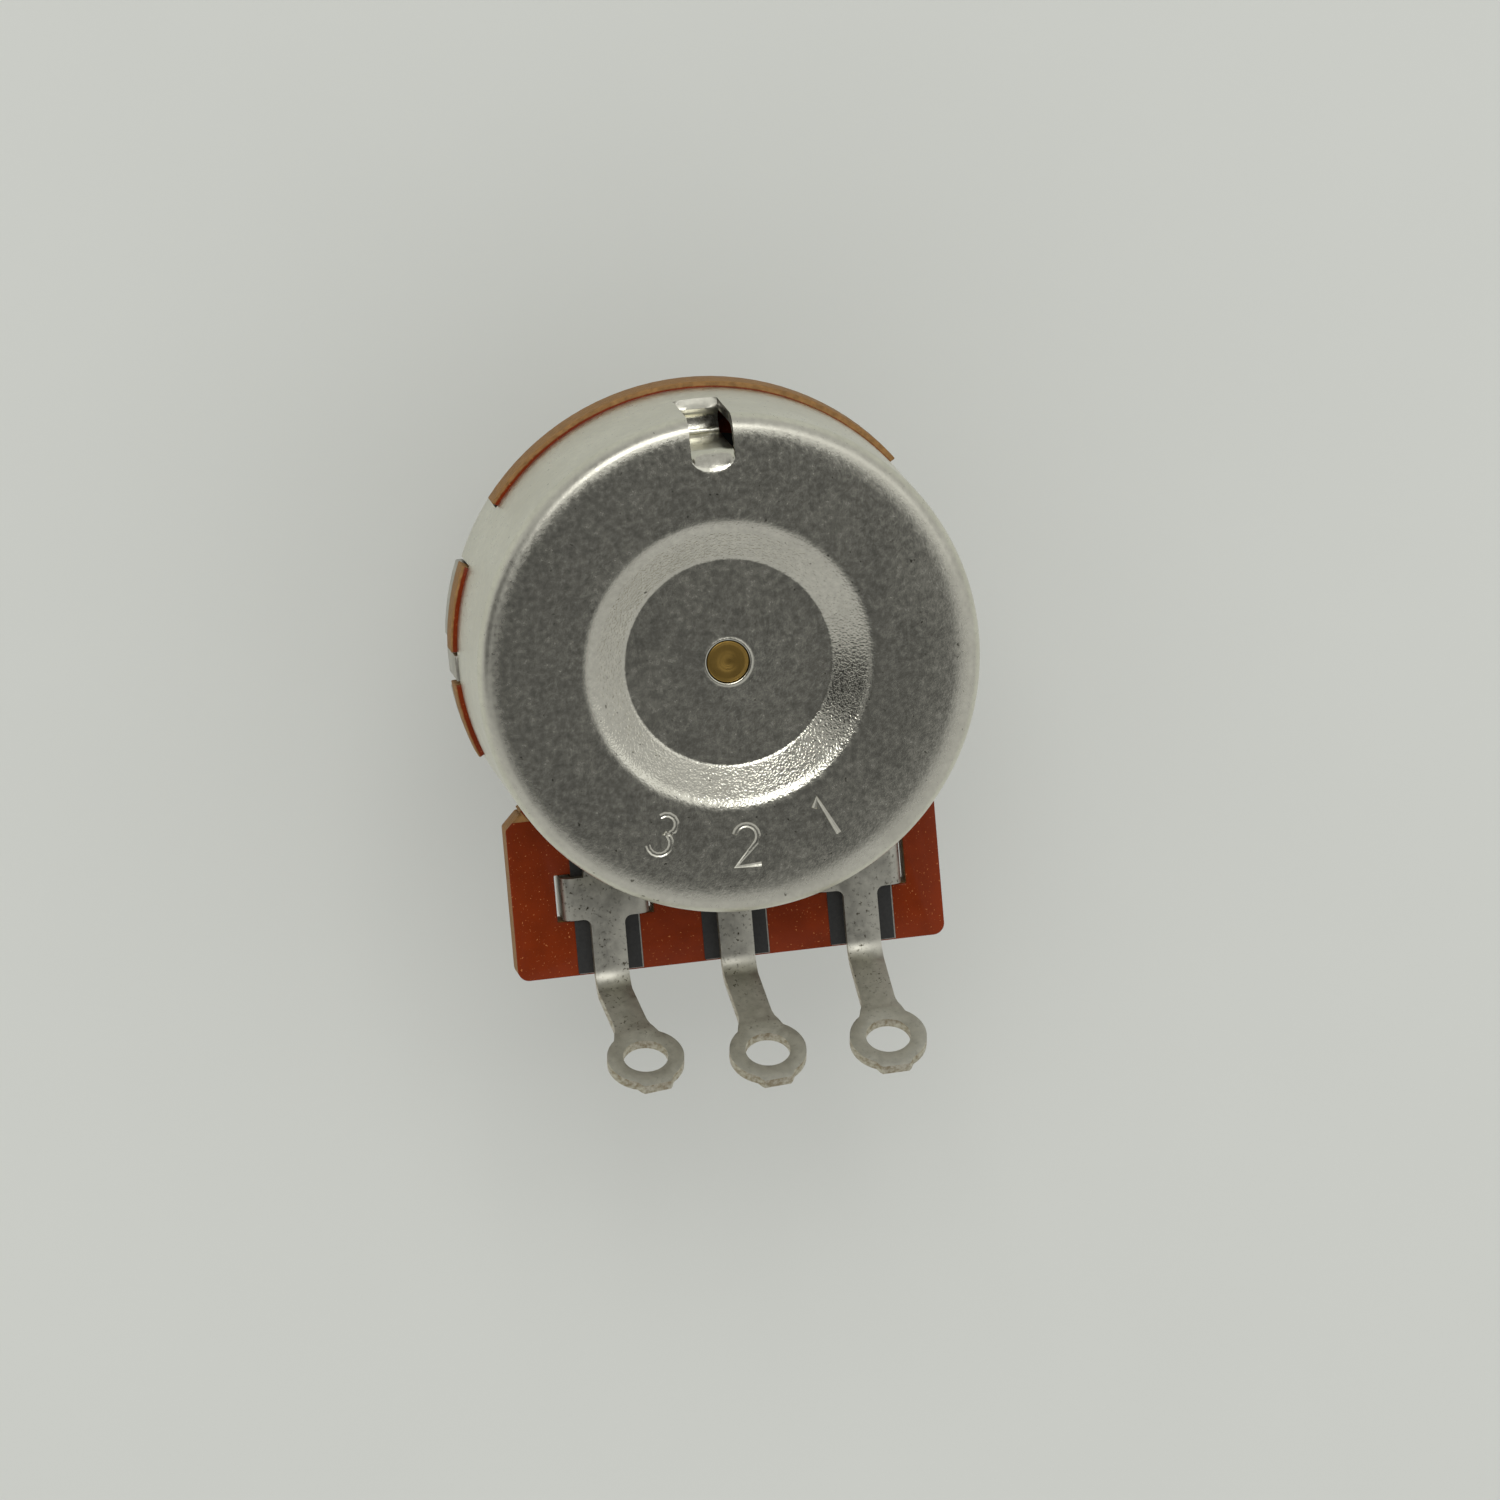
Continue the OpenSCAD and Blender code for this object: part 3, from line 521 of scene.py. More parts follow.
class POT_OT_cover(bpy.types.Operator):
    """Builds the drawn rear cover from one sheet, with its stop strip, relief and tabs"""

    bl_idname = "pot.cover"
    bl_label = "Rear cover"

    strip_half = 1.05
    mouth_y = 10.15
    relief_edges = (-8.69, 8.89)
    strokes = {
        1: [(-0.32, 0.66), (0.05, 1.0), (0.05, -1.0)],
        2: arc(0, 0.42, 0.56, 165, -38, 10) + [(-0.6, -1.0), (0.62, -1.0)],
        3: arc(-0.04, 0.52, 0.48, 150, -80, 8) + arc(-0.02, -0.45, 0.56, 80, -150, 10),
    }

    def execute(self, context):
        settings = context.scene.pot_cover
        bm = bmesh.new()
        self.spin_skin(bm, settings.shoulder / MM, settings.crown / MM)
        self.lance_strip(bm)
        self.cut_relief(bm)
        self.fold_tabs(bm)
        slot = {
            spot(v.co) for v in bm.verts
            if abs(abs(v.co.x) - self.strip_half) < 0.01 and v.co.y > 10.1
            and v.co.z > STRIP_FOOT_Z + 0.1 and v.is_boundary
        }
        thicken(bm, settings.sheet / MM)
        soften(bm, 0.25, 4, above=50, chosen=lambda e: all(spot(v.co) in slot for v in e.verts))
        soften(bm, settings.edge / MM, 2, above=50)
        cover = finish_piece(
            bm, "cover_shell", "housing", tin_plated_steel(settings),
            nodes=("rear_cover",), edge=sheared_edge("sheared steel", "8E8B80", "5A554A"),
        )
        self.stamp_numbers(cover)
        return {"FINISHED"}

    def spin_skin(self, bm, shoulder, crown):
        """Spins the outer skin: pierced floor, recess, flat face, crown, shoulder and wall."""
        floor_r, mouth_r, fillet, slope = 4.88, 7.18, 0.45, 33
        depth, width = FACE_Z - FLOOR_Z, mouth_r - floor_r
        run = width * math.sin(math.radians(slope)) - depth * math.cos(math.radians(slope))
        lip = run / (1 - math.cos(math.radians(slope))) - fillet
        # The face swells a little (dome), then rolls over the crown into the shoulder
        dome, dome_end, crown_end = 45, 2.5, 12
        tip, lean = math.radians(dome_end), math.radians(crown_end)
        crown_r = COVER_R - shoulder - (crown - shoulder) * math.sin(lean)
        crown_z = FACE_Z - crown - (dome - crown) * (1 - math.cos(tip))
        dome_r = crown_r - (dome - crown) * math.sin(tip)
        shoulder_z = crown_z + (crown - shoulder) * math.cos(lean)
        burr = [(HOLE_R, FLOOR_Z - 0.05), (HOLE_R + 0.02, FLOOR_Z + 0.01),
                (HOLE_R + 0.06, FLOOR_Z + 0.03), (HOLE_R + 0.11, FLOOR_Z + 0.022),
                (HOLE_R + 0.17, FLOOR_Z + 0.004), (HOLE_R + 0.24, FLOOR_Z)]
        line = (
            burr + [(floor_r - 0.06, FLOOR_Z)]
            + arc(floor_r, FLOOR_Z + fillet, fillet, -90, slope - 90, 10)
            + arc(mouth_r, FACE_Z - lip, lip, 90 + slope, 90, 12)
            + [(mouth_r + 0.06, FACE_Z)]
            + arc(dome_r, FACE_Z - dome, dome, 90, 90 - dome_end, 4)
            + arc(crown_r, crown_z, crown, 90 - dome_end, 90 - crown_end, 5)[1:]
            + arc(COVER_R - shoulder, shoulder_z, shoulder, 90 - crown_end, 0, 16)[1:]
            + [(COVER_R, z) for z in (shoulder_z - 0.08, STRIP_FOOT_Z, RELIEF_Z, PRINT_Z)]
        )
        spin_line(bm, line, 192)

    def lance_strip(self, bm):
        """Lances the stop strip: a scooped mouth in the face, two steps down, and its shelf."""
        half, mouth_y, scoop, foot_z = self.strip_half, self.mouth_y, 0.84, STRIP_FOOT_Z

        def depth(x):
            return mouth_y - scoop * math.sqrt(max(0.0, 1 - (x / half) ** 2))

        def near(c):
            return c.y > 8.3 and abs(c.x) < 1.4 and c.z > foot_z

        for x in (half, -half):
            cut(bm, (x, 0, 0), (1, 0, 0), near)
        bow = arc(0, 0, 1, 180, 360, 14)
        bow = [Vector((half * x, mouth_y + scoop * y, 0)) for x, y in bow]
        for start, end in zip(bow, bow[1:]):
            along = end - start
            cut(bm, start, (along.y, -along.x, 0), near)
        drop(bm, lambda c: c.z > foot_z and abs(c.x) < half and c.y > depth(c.x) - 0.02)
        foot = rim(bm, lambda v: v.y > 11 and abs(v.x) < half + 0.01 and abs(v.z - foot_z) < 0.01)
        mouth = rim(bm, lambda v: v.y < mouth_y + 0.01 and v.y > 9 and abs(v.x) < half + 0.01
                    and abs(v.z - FACE_Z) < 0.1)
        top_y, top_z = mouth_y + 0.08, FACE_Z - 0.58
        edge = {round(v.co.x, 3): v.co.yz for e in mouth for v in e.verts}
        moves = []
        for share in (0.12, 0.28, 0.5, 0.75, 1.0):

            def sink(verts, share=share):
                for v in verts:
                    start_y, start_z = edge[round(v.co.x, 3)]
                    v.co.y = start_y + (top_y - start_y) * share
                    v.co.z = start_z + (top_z - start_z) * share ** 1.5
            moves.append(sink)
        mouth = extend(bm, mouth, moves)
        path = (
            arc(11.55, 6.1, 0.4, 50, 150, 5) + [(11.12, 6.08), (11.0, 6.06), (10.55, 6.2)]
            + arc(10.5, 6.42, 0.2, 270, 180, 4) + [(10.3, 10.2), (10.27, 10.5)]
        )
        start = {round(v.co.x, 3): v.co.y for e in foot for v in e.verts}
        wall_y, moves = COVER_R, []
        for i, (y, z) in enumerate(path):
            share = max(0.0, 1 - (i + 1) / 6)
            bulge = 0.09 if 1 < i < 9 else 0

            def move(verts, y=y, z=z, share=share, bulge=bulge):
                for v in verts:
                    v.co.y = y + (start[round(v.co.x, 3)] - wall_y) * share
                    v.co.z = z + bulge * (1 - (v.co.x / half) ** 2)
            moves.append(move)
        last = extend(bm, foot, moves)
        bmesh.ops.bridge_loops(bm, edges=last + mouth)

    def cut_relief(self, bm):
        """Cuts the wall away over the board's tongue, with round inner corners."""
        left, right = self.relief_edges

        def near(c):
            return c.y < 0 and c.z < RELIEF_Z

        for x in self.relief_edges:
            cut(bm, (x, 0, 0), (1, 0, 0), near)
        drop(bm, lambda c: near(c) and left < c.x < right)
        corners = [
            v for v in bm.verts
            if v.co.y < 0 and abs(v.co.z - RELIEF_Z) < 0.01
            and min(abs(v.co.x - left), abs(v.co.x - right)) < 0.01
        ]
        bmesh.ops.bevel(
            bm, geom=corners, offset=0.3, affect="VERTICES", segments=4, profile=0.5, material=-1,
        )

    def fold_tabs(self, bm):
        """Draws the four tabs down from the wall and folds them under the front plate."""
        half = 3.05 / 2
        for angle in TAB_ANGLES:
            out = Vector((math.cos(math.radians(angle)), math.sin(math.radians(angle)), 0))
            side = Vector((-out.y, out.x, 0))

            def near(c, out=out, side=side):
                return c.dot(out) > 10 and abs(c.dot(side)) < 2.5 and c.z < RELIEF_Z

            for s in (-half, half):
                cut(bm, side * s, side, near)
            edge = rim(bm, lambda v: v.dot(out) > 10 and abs(v.dot(side)) < half + 0.01
                       and abs(v.z - PRINT_Z) < 0.01)
            bend = arc(-0.6, 0.9, 0.6, 0, -90, 6)
            points = [(0, PRINT_Z)] + bend + [(-2.6, 0.3)]
            moves = [
                shift_by(out * (b[0] - a[0]) + Vector((0, 0, b[1] - a[1])))
                for a, b in zip(points, points[1:])
            ]
            extend(bm, edge, moves)

    def stamp_numbers(self, cover):
        """Presses the terminals' plain numbers into the face as round-bottomed lines."""
        curve = bpy.data.curves.new("stamp", "CURVE")
        curve.dimensions = "3D"
        curve.bevel_depth = 0.24 * MM
        curve.bevel_resolution = 4
        curve.use_fill_caps = True
        for number, angle in ((3, -27), (2, 0), (1, 27)):
            points = self.strokes[number]
            spline = curve.splines.new("POLY")
            spline.points.add(len(points) - 1)
            turn = Matrix.Rotation(math.radians(angle), 3, "Z")
            for point, (x, y) in zip(spline.points, points):
                place = turn @ Vector((x, y - 8.65, FACE_Z + 0.19)) * MM
                point.co = (*place, 1)
        tool = bpy.data.objects.new("stamp", curve)
        bpy.context.scene.collection.objects.link(tool)
        solid = bpy.data.meshes.new_from_object(
            tool.evaluated_get(bpy.context.evaluated_depsgraph_get()))
        bpy.data.objects.remove(tool)
        tool = bpy.data.objects.new("stamp", solid)
        bpy.context.scene.collection.objects.link(tool)
        modifier = cover.modifiers.new("stamp", "BOOLEAN")
        modifier.operation, modifier.solver, modifier.object = "DIFFERENCE", "EXACT", tool
        modifier.use_self = True
        pressed = bpy.data.meshes.new_from_object(
            cover.evaluated_get(bpy.context.evaluated_depsgraph_get()))
        cover.modifiers.clear()
        cover.data = pressed
        bpy.data.objects.remove(tool)
        cover.data.shade_smooth()
        cover.data.set_sharp_from_angle(angle=math.radians(40))


class POT_OT_terminals(bpy.types.Operator):
    """Builds the three stamped solder terminals, each from one bent sheet"""

    bl_idname = "pot.terminals"
    bl_label = "Terminals"

    # The sheet lies on the printed ink
    top_z = PRINT_Z + 0.05 + 0.5
    names = ("left", "middle", "right")
    places = (-6.0, 0.1, 6.2)
    bends = (59.0, 56.5, 56.0)
    lengths = (5.2, 5.45, 5.4)
    leans = (7.2, 4.2, 1.2)
    bend_y = -15.75
    # Inside radius of the bend in the CAD, and the softer one that the light shows; both
    # meet the same two planes
    plain_r = 0.5
    bend_r = 1.2
    # Outside of a clinched leg, and the outside radius of its two bends
    leg_x = 2.09
    leg_r = 0.56

    def execute(self, context):
        settings = context.scene.pot_terminal
        material = dull_tin(settings)
        edge = sheared_edge("sheared tinned brass", "C8C3B2", "A0947C")
        for i, name in enumerate(self.names):
            bm = bmesh.new()
            spread = (self.bend_r - self.plain_r) * math.tan(math.radians(self.bends[i]) / 2)
            bend_y = self.bend_y + spread
            neck = self.bend_neck(bm, self.stamp_flat(bm, bend_y), bend_y, self.bends[i])
            lean = math.radians(self.leans[i])
            across = self.lengths[i] * math.sin(lean)
            along = self.lengths[i] * math.cos(lean) - spread
            self.end_in_eyelet(
                bm, neck, self.bends[i], math.hypot(across, along),
                math.degrees(math.atan2(across, along)),
            )
            self.fold_legs(bm)
            bmesh.ops.translate(bm, vec=(self.places[i], 0, 0), verts=bm.verts[:])
            thicken(bm, settings.sheet / MM)
            soften(bm, settings.edge / MM, 2, above=50)
            node = "terminal_" + name
            finish_piece(
                bm, name + "_terminal", "housing", material, nodes=(node,), edge=edge)
        return {"FINISHED"}

    def stamp_flat(self, bm, bend_y):
        """Stamps the flat body and its wings, and returns the edge where the neck starts."""
        wing = self.leg_x - self.leg_r
        half = [(1, -10.05), (1, -10.9), (wing, -10.9), (wing, -12.95), (0.81, -12.95),
                (0.81, bend_y)]
        outline = half + [(-x, y) for x, y in reversed(half)]
        verts = [bm.verts.new((x, y, self.top_z)) for x, y in outline]
        bm.faces.new(verts)
        radii = {0: 0.85, 1: 0.3, 4: 0.35}
        for place, radius in radii.items():
            x, y = half[place]
            pair = [v for v in bm.verts if abs(abs(v.co.x) - x) < 1e-4 and abs(v.co.y - y) < 1e-4]
            bmesh.ops.bevel(
                bm, geom=pair, offset=radius, affect="VERTICES", segments=5, profile=0.5,
                material=-1,
            )
        return rim(bm, lambda v: abs(v.y - bend_y) < 1e-3)

    def bend_neck(self, bm, edge, bend_y, bend):
        """Bends the neck up from the board, and returns its edge."""
        steps = 10
        centre = Vector((0, bend_y, self.top_z + self.bend_r))
        turn = Matrix.Rotation(math.radians(-bend / steps), 3, "X")

        def move(verts):
            bmesh.ops.rotate(bm, verts=verts, cent=centre, matrix=turn)
        return extend(bm, edge, [move] * steps)

    def end_in_eyelet(self, bm, edge, bend, length, lean):
        """Runs the neck out, leaning sideways, into the eyelet with its three-cornered nib."""
        outer_r, inner_r, count = 3.67 / 2, 2.15 / 2, 48
        tilt = Matrix.Rotation(math.radians(-bend), 4, "X")
        start = (edge[0].verts[0].co + edge[0].verts[1].co) / 2
        start = Vector((0, start.y, start.z))
        swing = Matrix.Rotation(math.radians(lean), 4, "Z")
        ring = bmesh.ops.create_circle(bm, segments=count, radius=inner_r)["verts"]
        inner = list({e for v in ring for e in v.link_edges})
        made = bmesh.ops.create_circle(bm, segments=count, radius=outer_r)["verts"]
        outer = list({e for v in made for e in v.link_edges})
        ring = ring + made
        for v in made:
            angle = math.degrees(math.atan2(v.co.x, -v.co.y))
            if abs(angle) < 20:
                v.co.x *= 1.35
                v.co.y = -(outer_r + 0.15)
            elif abs(angle) < 26:
                v.co.x = math.copysign(0.75, v.co.x)
                v.co.y = -1.87
            elif abs(angle) < 34:
                v.co.x = math.copysign(0.9, v.co.x)
                v.co.y = -1.60
        bmesh.ops.bridge_loops(bm, edges=inner + outer)
        centre = Vector((length * math.sin(math.radians(lean)),
                         -length * math.cos(math.radians(lean)), 0))
        place = Matrix.Translation(start) @ tilt @ Matrix.Translation(centre) @ swing
        top = [v for v in made if v.co.y > 0 and abs(math.atan2(v.co.x, v.co.y)) < math.radians(41)]
        join = [e for e in outer if e.is_valid and all(v in top for v in e.verts)]
        bmesh.ops.transform(bm, matrix=place, verts=ring)
        rows = [(length - 2.75, 0.81), (length - 2.4, 0.82), (length - 2.1, 0.88),
                (length - 1.85, 0.99)]
        toward = tilt @ Vector((math.sin(math.radians(lean)), -math.cos(math.radians(lean)), 0))
        wide = tilt @ Vector((math.cos(math.radians(lean)), math.sin(math.radians(lean)), 0))
        moves = []
        for along, half in rows:
            def move(verts, along=along, half=half):
                middle = start + toward * along
                for v in verts:
                    v.co = middle + wide * math.copysign(half, v.co.x)
            moves.append(move)
        last = extend(bm, edge, moves)
        bmesh.ops.bridge_loops(bm, edges=last + join)

    def fold_legs(self, bm):
        """Folds the wings down through the board and clinches them under it."""
        r, wing = self.leg_r, self.leg_x - self.leg_r
        points = arc(-r, -r, r, 90, 0, 6) + arc(-r, -1.98, r, 0, -90, 6) + [(-1.2, -1.98 - r)]
        for side in (-1, 1):
            edge = rim(bm, lambda v: abs(v.x - side * wing) < 1e-3 and v.y < -10.8)
            extend(bm, edge, [
                shift_by((side * (b[0] - a[0]), 0, b[1] - a[1]))
                for a, b in zip(points, points[1:])
            ])


class POT_OT_board(bpy.types.Operator):
    """Builds the element board and dresses its printed tracks"""

    bl_idname = "pot.board"
    bl_label = "Element board"

    def execute(self, context):
        settings = context.scene.pot_body
        bm = merged_copy("element_board")
        self.shape_corner(bm)
        soften(bm, 0.07, 2)
        finish_piece(
            bm, "board_laminate", "housing", phenolic_laminate(settings),
            nodes=("element_board",),
        )
        carbon = printed_ink("carbon ink", settings.ink, 0.45)
        silver = printed_ink("silver ink", linear("A9A79E"), 0.5, 0.8)
        # A pale underprint that shows beside the ink, a little out of register
        for side in ("left", "middle", "right"):
            bm = merged_copy("lead_" + side)
            bmesh.ops.translate(bm, vec=(0.06, -0.03, -0.008), verts=bm.verts[:])
            finish_piece(bm, side + "_lead_underprint", "housing", silver)
        for node in ("resistive_track", "lead_left", "lead_middle", "lead_right"):
            dress(node, carbon)
        dress("collector_ring", silver)
        return {"FINISHED"}

    def shape_corner(self, bm):
        """Raises the tongue's upper left corner and takes it off, as the punch left it."""
        old, new, out = -8.1, -7.65, -10
        for v in bm.verts:
            if v.co.x < -8.8 and old - 0.05 < v.co.y < new:
                if v.co.x > out:
                    v.co.x = -math.sqrt(v.co.xy.length_squared - new ** 2)
                v.co.y = new
        bmesh.ops.remove_doubles(bm, verts=bm.verts[:], dist=0.05)
        corner = [
            e for e in bm.edges
            if all(v.co.x < out and abs(v.co.y - new) < 0.01 for v in e.verts)
        ]
        bmesh.ops.bevel(
            bm, geom=corner, offset=0.7, affect="EDGES", segments=1, profile=0.5, material=-1,
        )


class POT_OT_plate(bpy.types.Operator):
    """Builds the front plate with its locating lugs"""

    bl_idname = "pot.plate"
    bl_label = "Front plate"

    def execute(self, context):
        settings = context.scene.pot_body
        bm = merged_copy("front_plate")
        soften(bm, settings.edge / MM, 2)
        finish_piece(
            bm, "plate_front", "housing",
            satin_steel("dull tin plated steel", settings.steel), nodes=("front_plate",),
        )
        return {"FINISHED"}


class POT_OT_turned(bpy.types.Operator):
    """Builds the turned parts: the bushing with its thread, and the shaft"""

    bl_idname = "pot.turned"
    bl_label = "Bushing and shaft"

    def execute(self, context):
        settings = context.scene.pot_body
        plate = turned_brass("nickel-plated brass", settings.nickel, 0.82)
        self.bushing(settings.pitch / MM, plate)
        self.shaft(turned_brass("turned brass", settings.brass, 0.62))
        return {"FINISHED"}

    def bushing(self, pitch, plate):
        """Winds the thread as a helix, trims it at both ends and closes it with the body."""
        crest, root, bore = 4.76, 4.27, 3.225
        front, back, steps = -9.5, -0.3, 64
        bm = bmesh.new()
        profile = [(root, 0), (root, pitch * 0.12), (crest, pitch * 0.44), (crest, pitch * 0.56),
                   (root, pitch * 0.88), (root, pitch)]
        turns = math.ceil((back - front) / pitch) + 2
        for turn in range(turns):
            z0 = front - pitch + turn * pitch
            verts = [bm.verts.new((r, 0, z0 + z)) for r, z in profile]
            edges = [bm.edges.new(pair) for pair in zip(verts, verts[1:])]
            bmesh.ops.spin(
                bm, geom=verts + edges, cent=(0, 0, 0), axis=(0, 0, 1),
                dvec=(0, 0, pitch / steps), angle=TAU, steps=steps, use_merge=False,
            )
        bmesh.ops.remove_doubles(bm, verts=bm.verts[:], dist=1e-3)
        for z, outer in ((front, False), (back, True)):
            geom = bm.verts[:] + bm.edges[:] + bm.faces[:]
            bmesh.ops.bisect_plane(
                bm, geom=geom, dist=1e-4, plane_co=(0, 0, z), plane_no=(0, 0, 1),
                clear_outer=outer, clear_inner=not outer,
            )
        for v in bm.verts:
            limit = min(root + (v.co.z - front), root + (back - v.co.z) * 0.8)
            r = v.co.xy.length
            if r > limit:
                v.co.xy *= limit / r
        for z, line in (
            (front, [(root, front), (bore + 0.2, front), (bore, front + 0.2)]),
            (back, [(root, back), (root, 0), (6.45, 0), (6.6, 0.12), (6.6, 0.8), (4.96, 0.8),
                    (4.96, 2.0), (5.71, 2.0), (5.71, 2.25), (5.46, 2.5), (bore, 2.5),
                    (bore, front + 0.2)]),
        ):
            loop = rim(bm, lambda v, z=z: abs(v.z - z) < 1e-3)
            before = set(bm.verts)
            verts = [bm.verts.new((r, 0, h)) for r, h in line[1:]]
            edges = [bm.edges.new(pair) for pair in zip(verts, verts[1:])]
            bmesh.ops.spin(bm, geom=verts + edges, cent=(0, 0, 0), axis=(0, 0, 1),
                           angle=TAU, steps=steps * 2, use_merge=True)
            fresh = [v for v in bm.verts if v not in before]
            r0, h0 = line[1]
            near = [
                e for e in bm.edges if e.is_boundary and all(
                    v in fresh and abs(v.co.z - h0) < 1e-3 and abs(v.co.xy.length - r0) < 1e-2
                    for v in e.verts)
            ]
            bmesh.ops.bridge_loops(bm, edges=loop + near)
        bmesh.ops.remove_doubles(bm, verts=bm.verts[:], dist=1e-3)
        soften(bm, 0.05, 2, above=60,
               chosen=lambda e: all(v.co.z > -0.05 for v in e.verts))
        finish_piece(bm, "bushing_threaded", "housing", plate, nodes=("bushing",))

    def shaft(self, brass):
        """Turns the shaft, with its groove, its flats for the rotor and its dimpled pilot."""
        end = FLOOR_Z - 0.02
        line = [
            (0, -19), (2.6, -19), (3.0, -18.6), (3.0, -9.5), (3.175, -9.5), (3.175, 2.8),
            (2.45, 2.8), (2.45, 3.38), (3.175, 3.38), (3.175, 4.38), (2.5, 4.38), (2.5, 8.0),
            (2.9, 8.0), (2.9, 8.35), (1.0, 8.35), (1.0, end),
        ]
        dimple = [(0.62, end), (0.45, end - 0.015), (0.2, end - 0.06), (0.0, end - 0.08)]
        bm = bmesh.new()
        spin_line(bm, line + dimple, 96)
        for v in bm.verts:
            if 4.37 < v.co.z < 8.01 and v.co.xy.length < 2.52:
                v.co.x = max(-2.0, min(2.0, v.co.x))
        soften(bm, 0.06, 3, above=40)
        finish_piece(bm, "shaft_turned", "spindle", brass, nodes=("shaft",))


class POT_OT_inside(bpy.types.Operator):
    """Builds the rotor, its wiper, the thrust washer and the retaining ring"""

    bl_idname = "pot.inside"
    bl_label = "Rotor and retaining parts"

    def execute(self, context):
        steel = satin_steel("rolled steel", context.scene.pot_body.steel)
        rows = (
            ("rotor", "rotor_moulding", "spindle", 0.12, moulded_phenolic(linear("26241F"))),
            ("wiper_spring", "wiper_fingers", "spindle", 0.0, spring_bronze()),
            ("thrust_washer", "washer_thrust", "housing", 0.05, steel),
            ("retaining_ring", "ring_retaining", "spindle", 0.08, steel),
        )
        for node, name, body, edge, material in rows:
            bm = merged_copy(node)
            if edge:
                soften(bm, edge, 2)
            finish_piece(bm, name, body, material, nodes=(node,))
        return {"FINISHED"}


def direction(azimuth, zenith):
    """Unit vector at an azimuth from +X and an angle from the zenith, in degrees."""
    a, z = math.radians(azimuth), math.radians(zenith)
    return (math.sin(z) * math.cos(a), math.sin(z) * math.sin(a), math.cos(z))


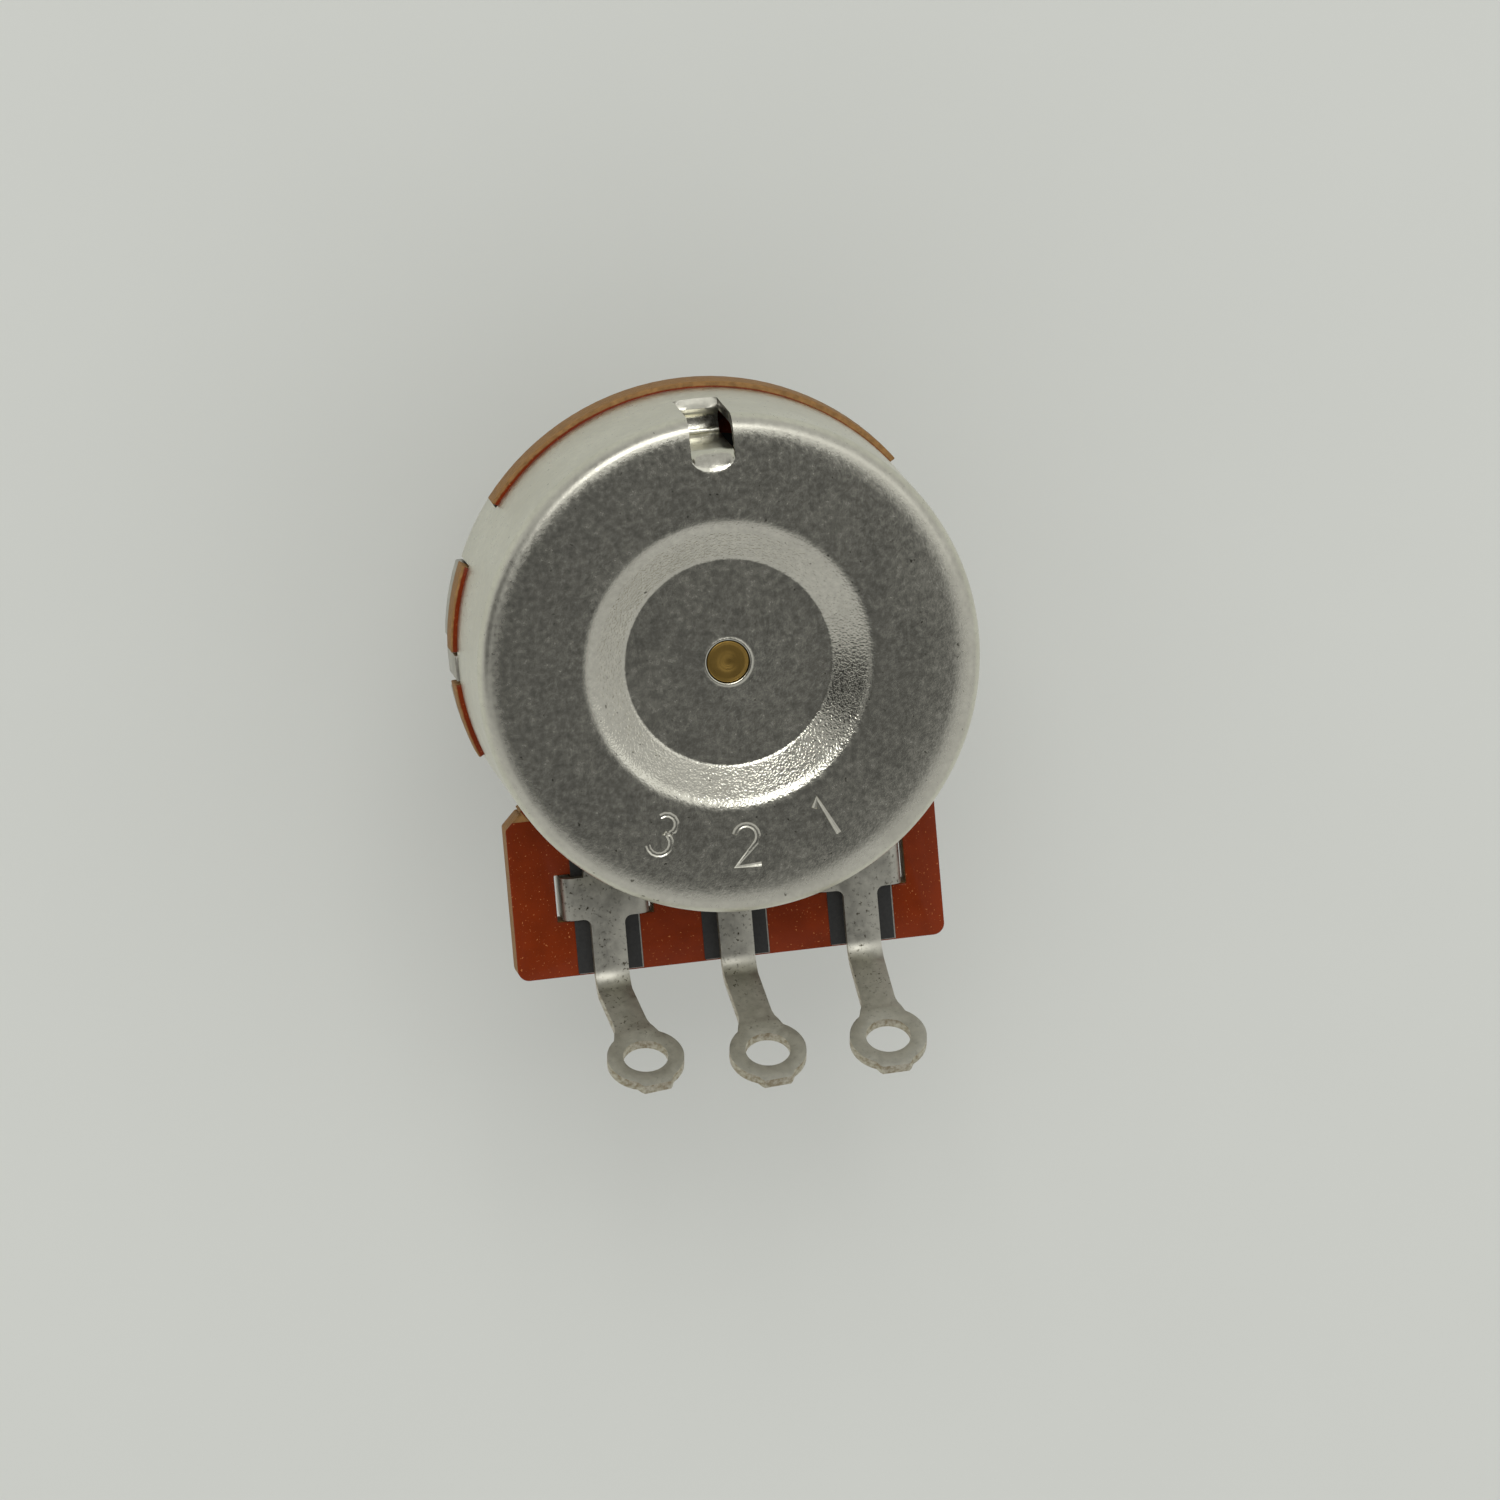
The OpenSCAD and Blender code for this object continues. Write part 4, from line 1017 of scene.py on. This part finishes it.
class POT_OT_stage(bpy.types.Operator):
    """Adds the floor, the light and the camera of the photograph"""

    bl_idname = "pot.stage"
    bl_label = "Stage"

    # Places in the room that the metal mirrors: azimuth, zenith, the radii of the even part
    # and of its soft edge, all in degrees, and the share of the light there
    patches = (
        (250, 5, 13, 31, 0.17),
        (180, 32, 6, 24, 0.5),
        (172, 58, 11, 24, 0.08),
        (115, 58, 8, 16, 0.35),
        (36, 36, 8, 26, 1.9),
    )

    def execute(self, context):
        settings = context.scene.pot_stage
        self.floor(settings.backdrop)
        self.world(settings.backdrop)
        self.softbox()
        self.camera(context.scene)
        return {"FINISHED"}

    def floor(self, backdrop):
        """Lays a pale card, matte and faintly clouded, under the shaft's end."""
        bm = bmesh.new()
        bmesh.ops.create_grid(bm, x_segments=8, y_segments=8, size=0.6)
        bmesh.ops.translate(bm, vec=(0, 0, SHAFT_END_Z * MM), verts=bm.verts[:])
        mesh = bpy.data.meshes.new("floor")
        bm.to_mesh(mesh)
        bm.free()
        material, tree, shader = new_material("pale card")
        place = add(tree, "ShaderNodeTexCoord").outputs["Object"]
        cloud = spots(tree, place, 20, 0.3, 0.7)
        colour = coats(tree, backdrop, (cloud, darker(backdrop, 0.985)))
        plug(tree, shader, Base_Color=colour, Roughness=0.9)
        mesh.materials.append(material)
        floor = bpy.data.objects.new("floor", mesh)
        bpy.context.scene.collection.objects.link(floor)

    def world(self, backdrop):
        """Evenly bright, dark where the camera stands and left of it, brighter at a window."""
        world = bpy.data.worlds.new("studio")
        bpy.context.scene.world = world
        world.use_nodes = True
        tree = world.node_tree
        tree.nodes.clear()
        place = add(tree, "ShaderNodeTexCoord").outputs["Generated"]
        level = 0.50
        for azimuth, zenith, inner, outer, share in self.patches:
            near = add(
                tree, "ShaderNodeVectorMath", {"operation": "DOT_PRODUCT"}, in_0=place,
                in_1=direction(azimuth, zenith),
            )
            near = add(
                tree, "ShaderNodeMapRange", {"interpolation_type": "SMOOTHSTEP"},
                Value=near.outputs["Value"], From_Min=math.cos(math.radians(outer)),
                From_Max=math.cos(math.radians(inner)), To_Min=1.0, To_Max=share,
            )
            level = add(
                tree, "ShaderNodeMath", MULTIPLY, in_0=level, in_1=near.outputs[0],
            ).outputs[0]
        shaded = add(tree, "ShaderNodeCombineXYZ", X=level, Y=level, Z=level)
        path = add(tree, "ShaderNodeLightPath")
        colour = coats(
            tree, (0.86, 0.86, 0.86, 1), (path.outputs["Is Glossy Ray"], shaded.outputs[0]),
            (path.outputs["Is Camera Ray"], backdrop),
        )
        shade = add(tree, "ShaderNodeBackground", Color=colour, Strength=1.0)
        add(tree, "ShaderNodeOutputWorld", Surface=shade.outputs[0])

    def softbox(self):
        """Hangs one square softbox behind the part's upper edge."""
        lamp = bpy.data.lights.new("softbox", "AREA")
        lamp.shape = "SQUARE"
        lamp.size = 0.34
        lamp.energy = 1.3
        softbox = bpy.data.objects.new("softbox", lamp)
        bpy.context.scene.collection.objects.link(softbox)
        away = Vector(direction(98, 29))
        softbox.location = away * 0.8
        softbox.rotation_euler = (-away).to_track_quat("-Z", "Y").to_euler()

    def camera(self, scene):
        """Stands the camera where the photograph was taken from, turned the same way."""
        axes = Matrix((
            (0.985162534827891, -0.08368225072841905, 0.1498401177405782),
            (0.11191055709250756, 0.9751536828913268, -0.19118400025819665),
            (-0.13011843521472632, 0.20511600536405622, 0.9700498013817452),
        ))
        camera = bpy.data.cameras.new("camera")
        camera.sensor_width = 36
        camera.lens = 415.373
        camera.clip_start, camera.clip_end = 0.05, 5
        camera_object = bpy.data.objects.new("camera", camera)
        scene.collection.objects.link(camera_object)
        camera_object.matrix_world = (
            Matrix.Translation((-0.1056808, 0.1633169, 0.8031200)) @ axes.transposed().to_4x4()
        )
        scene.camera = camera_object
        scene.view_settings.view_transform = "Standard"


class POT_PT_panel(bpy.types.Panel):
    """Lists the operators in the order in which they build the model"""

    bl_label = "Potentiometer"
    bl_space_type = "VIEW_3D"
    bl_region_type = "UI"
    bl_category = "Potentiometer"

    def draw(self, context):
        for operator in OPERATORS:
            self.layout.operator(operator.bl_idname)
        for name in SETTINGS:
            group = getattr(context.scene, name)
            for key in group.bl_rna.properties.keys():
                if key not in ("rna_type", "name"):
                    self.layout.prop(group, key)


OPERATORS = (
    POT_OT_cover, POT_OT_terminals, POT_OT_board, POT_OT_plate, POT_OT_turned, POT_OT_inside,
    POT_OT_stage,
)
SETTINGS = {
    "pot_cover": CoverSettings, "pot_terminal": TerminalSettings, "pot_body": BodySettings,
    "pot_stage": StageSettings,
}


def register():
    for cls in (*SETTINGS.values(), *OPERATORS, POT_PT_panel):
        bpy.utils.register_class(cls)
    for name, cls in SETTINGS.items():
        setattr(bpy.types.Scene, name, PointerProperty(type=cls))


def unregister():
    for name in SETTINGS:
        delattr(bpy.types.Scene, name)
    for cls in (POT_PT_panel, *reversed(OPERATORS), *SETTINGS.values()):
        bpy.utils.unregister_class(cls)


def main():
    register()
    bpy.ops.pot.cover()
    bpy.ops.pot.terminals()
    bpy.ops.pot.board()
    bpy.ops.pot.plate()
    bpy.ops.pot.turned()
    bpy.ops.pot.inside()
    bpy.ops.pot.stage()


if __name__ == "__main__":
    main()
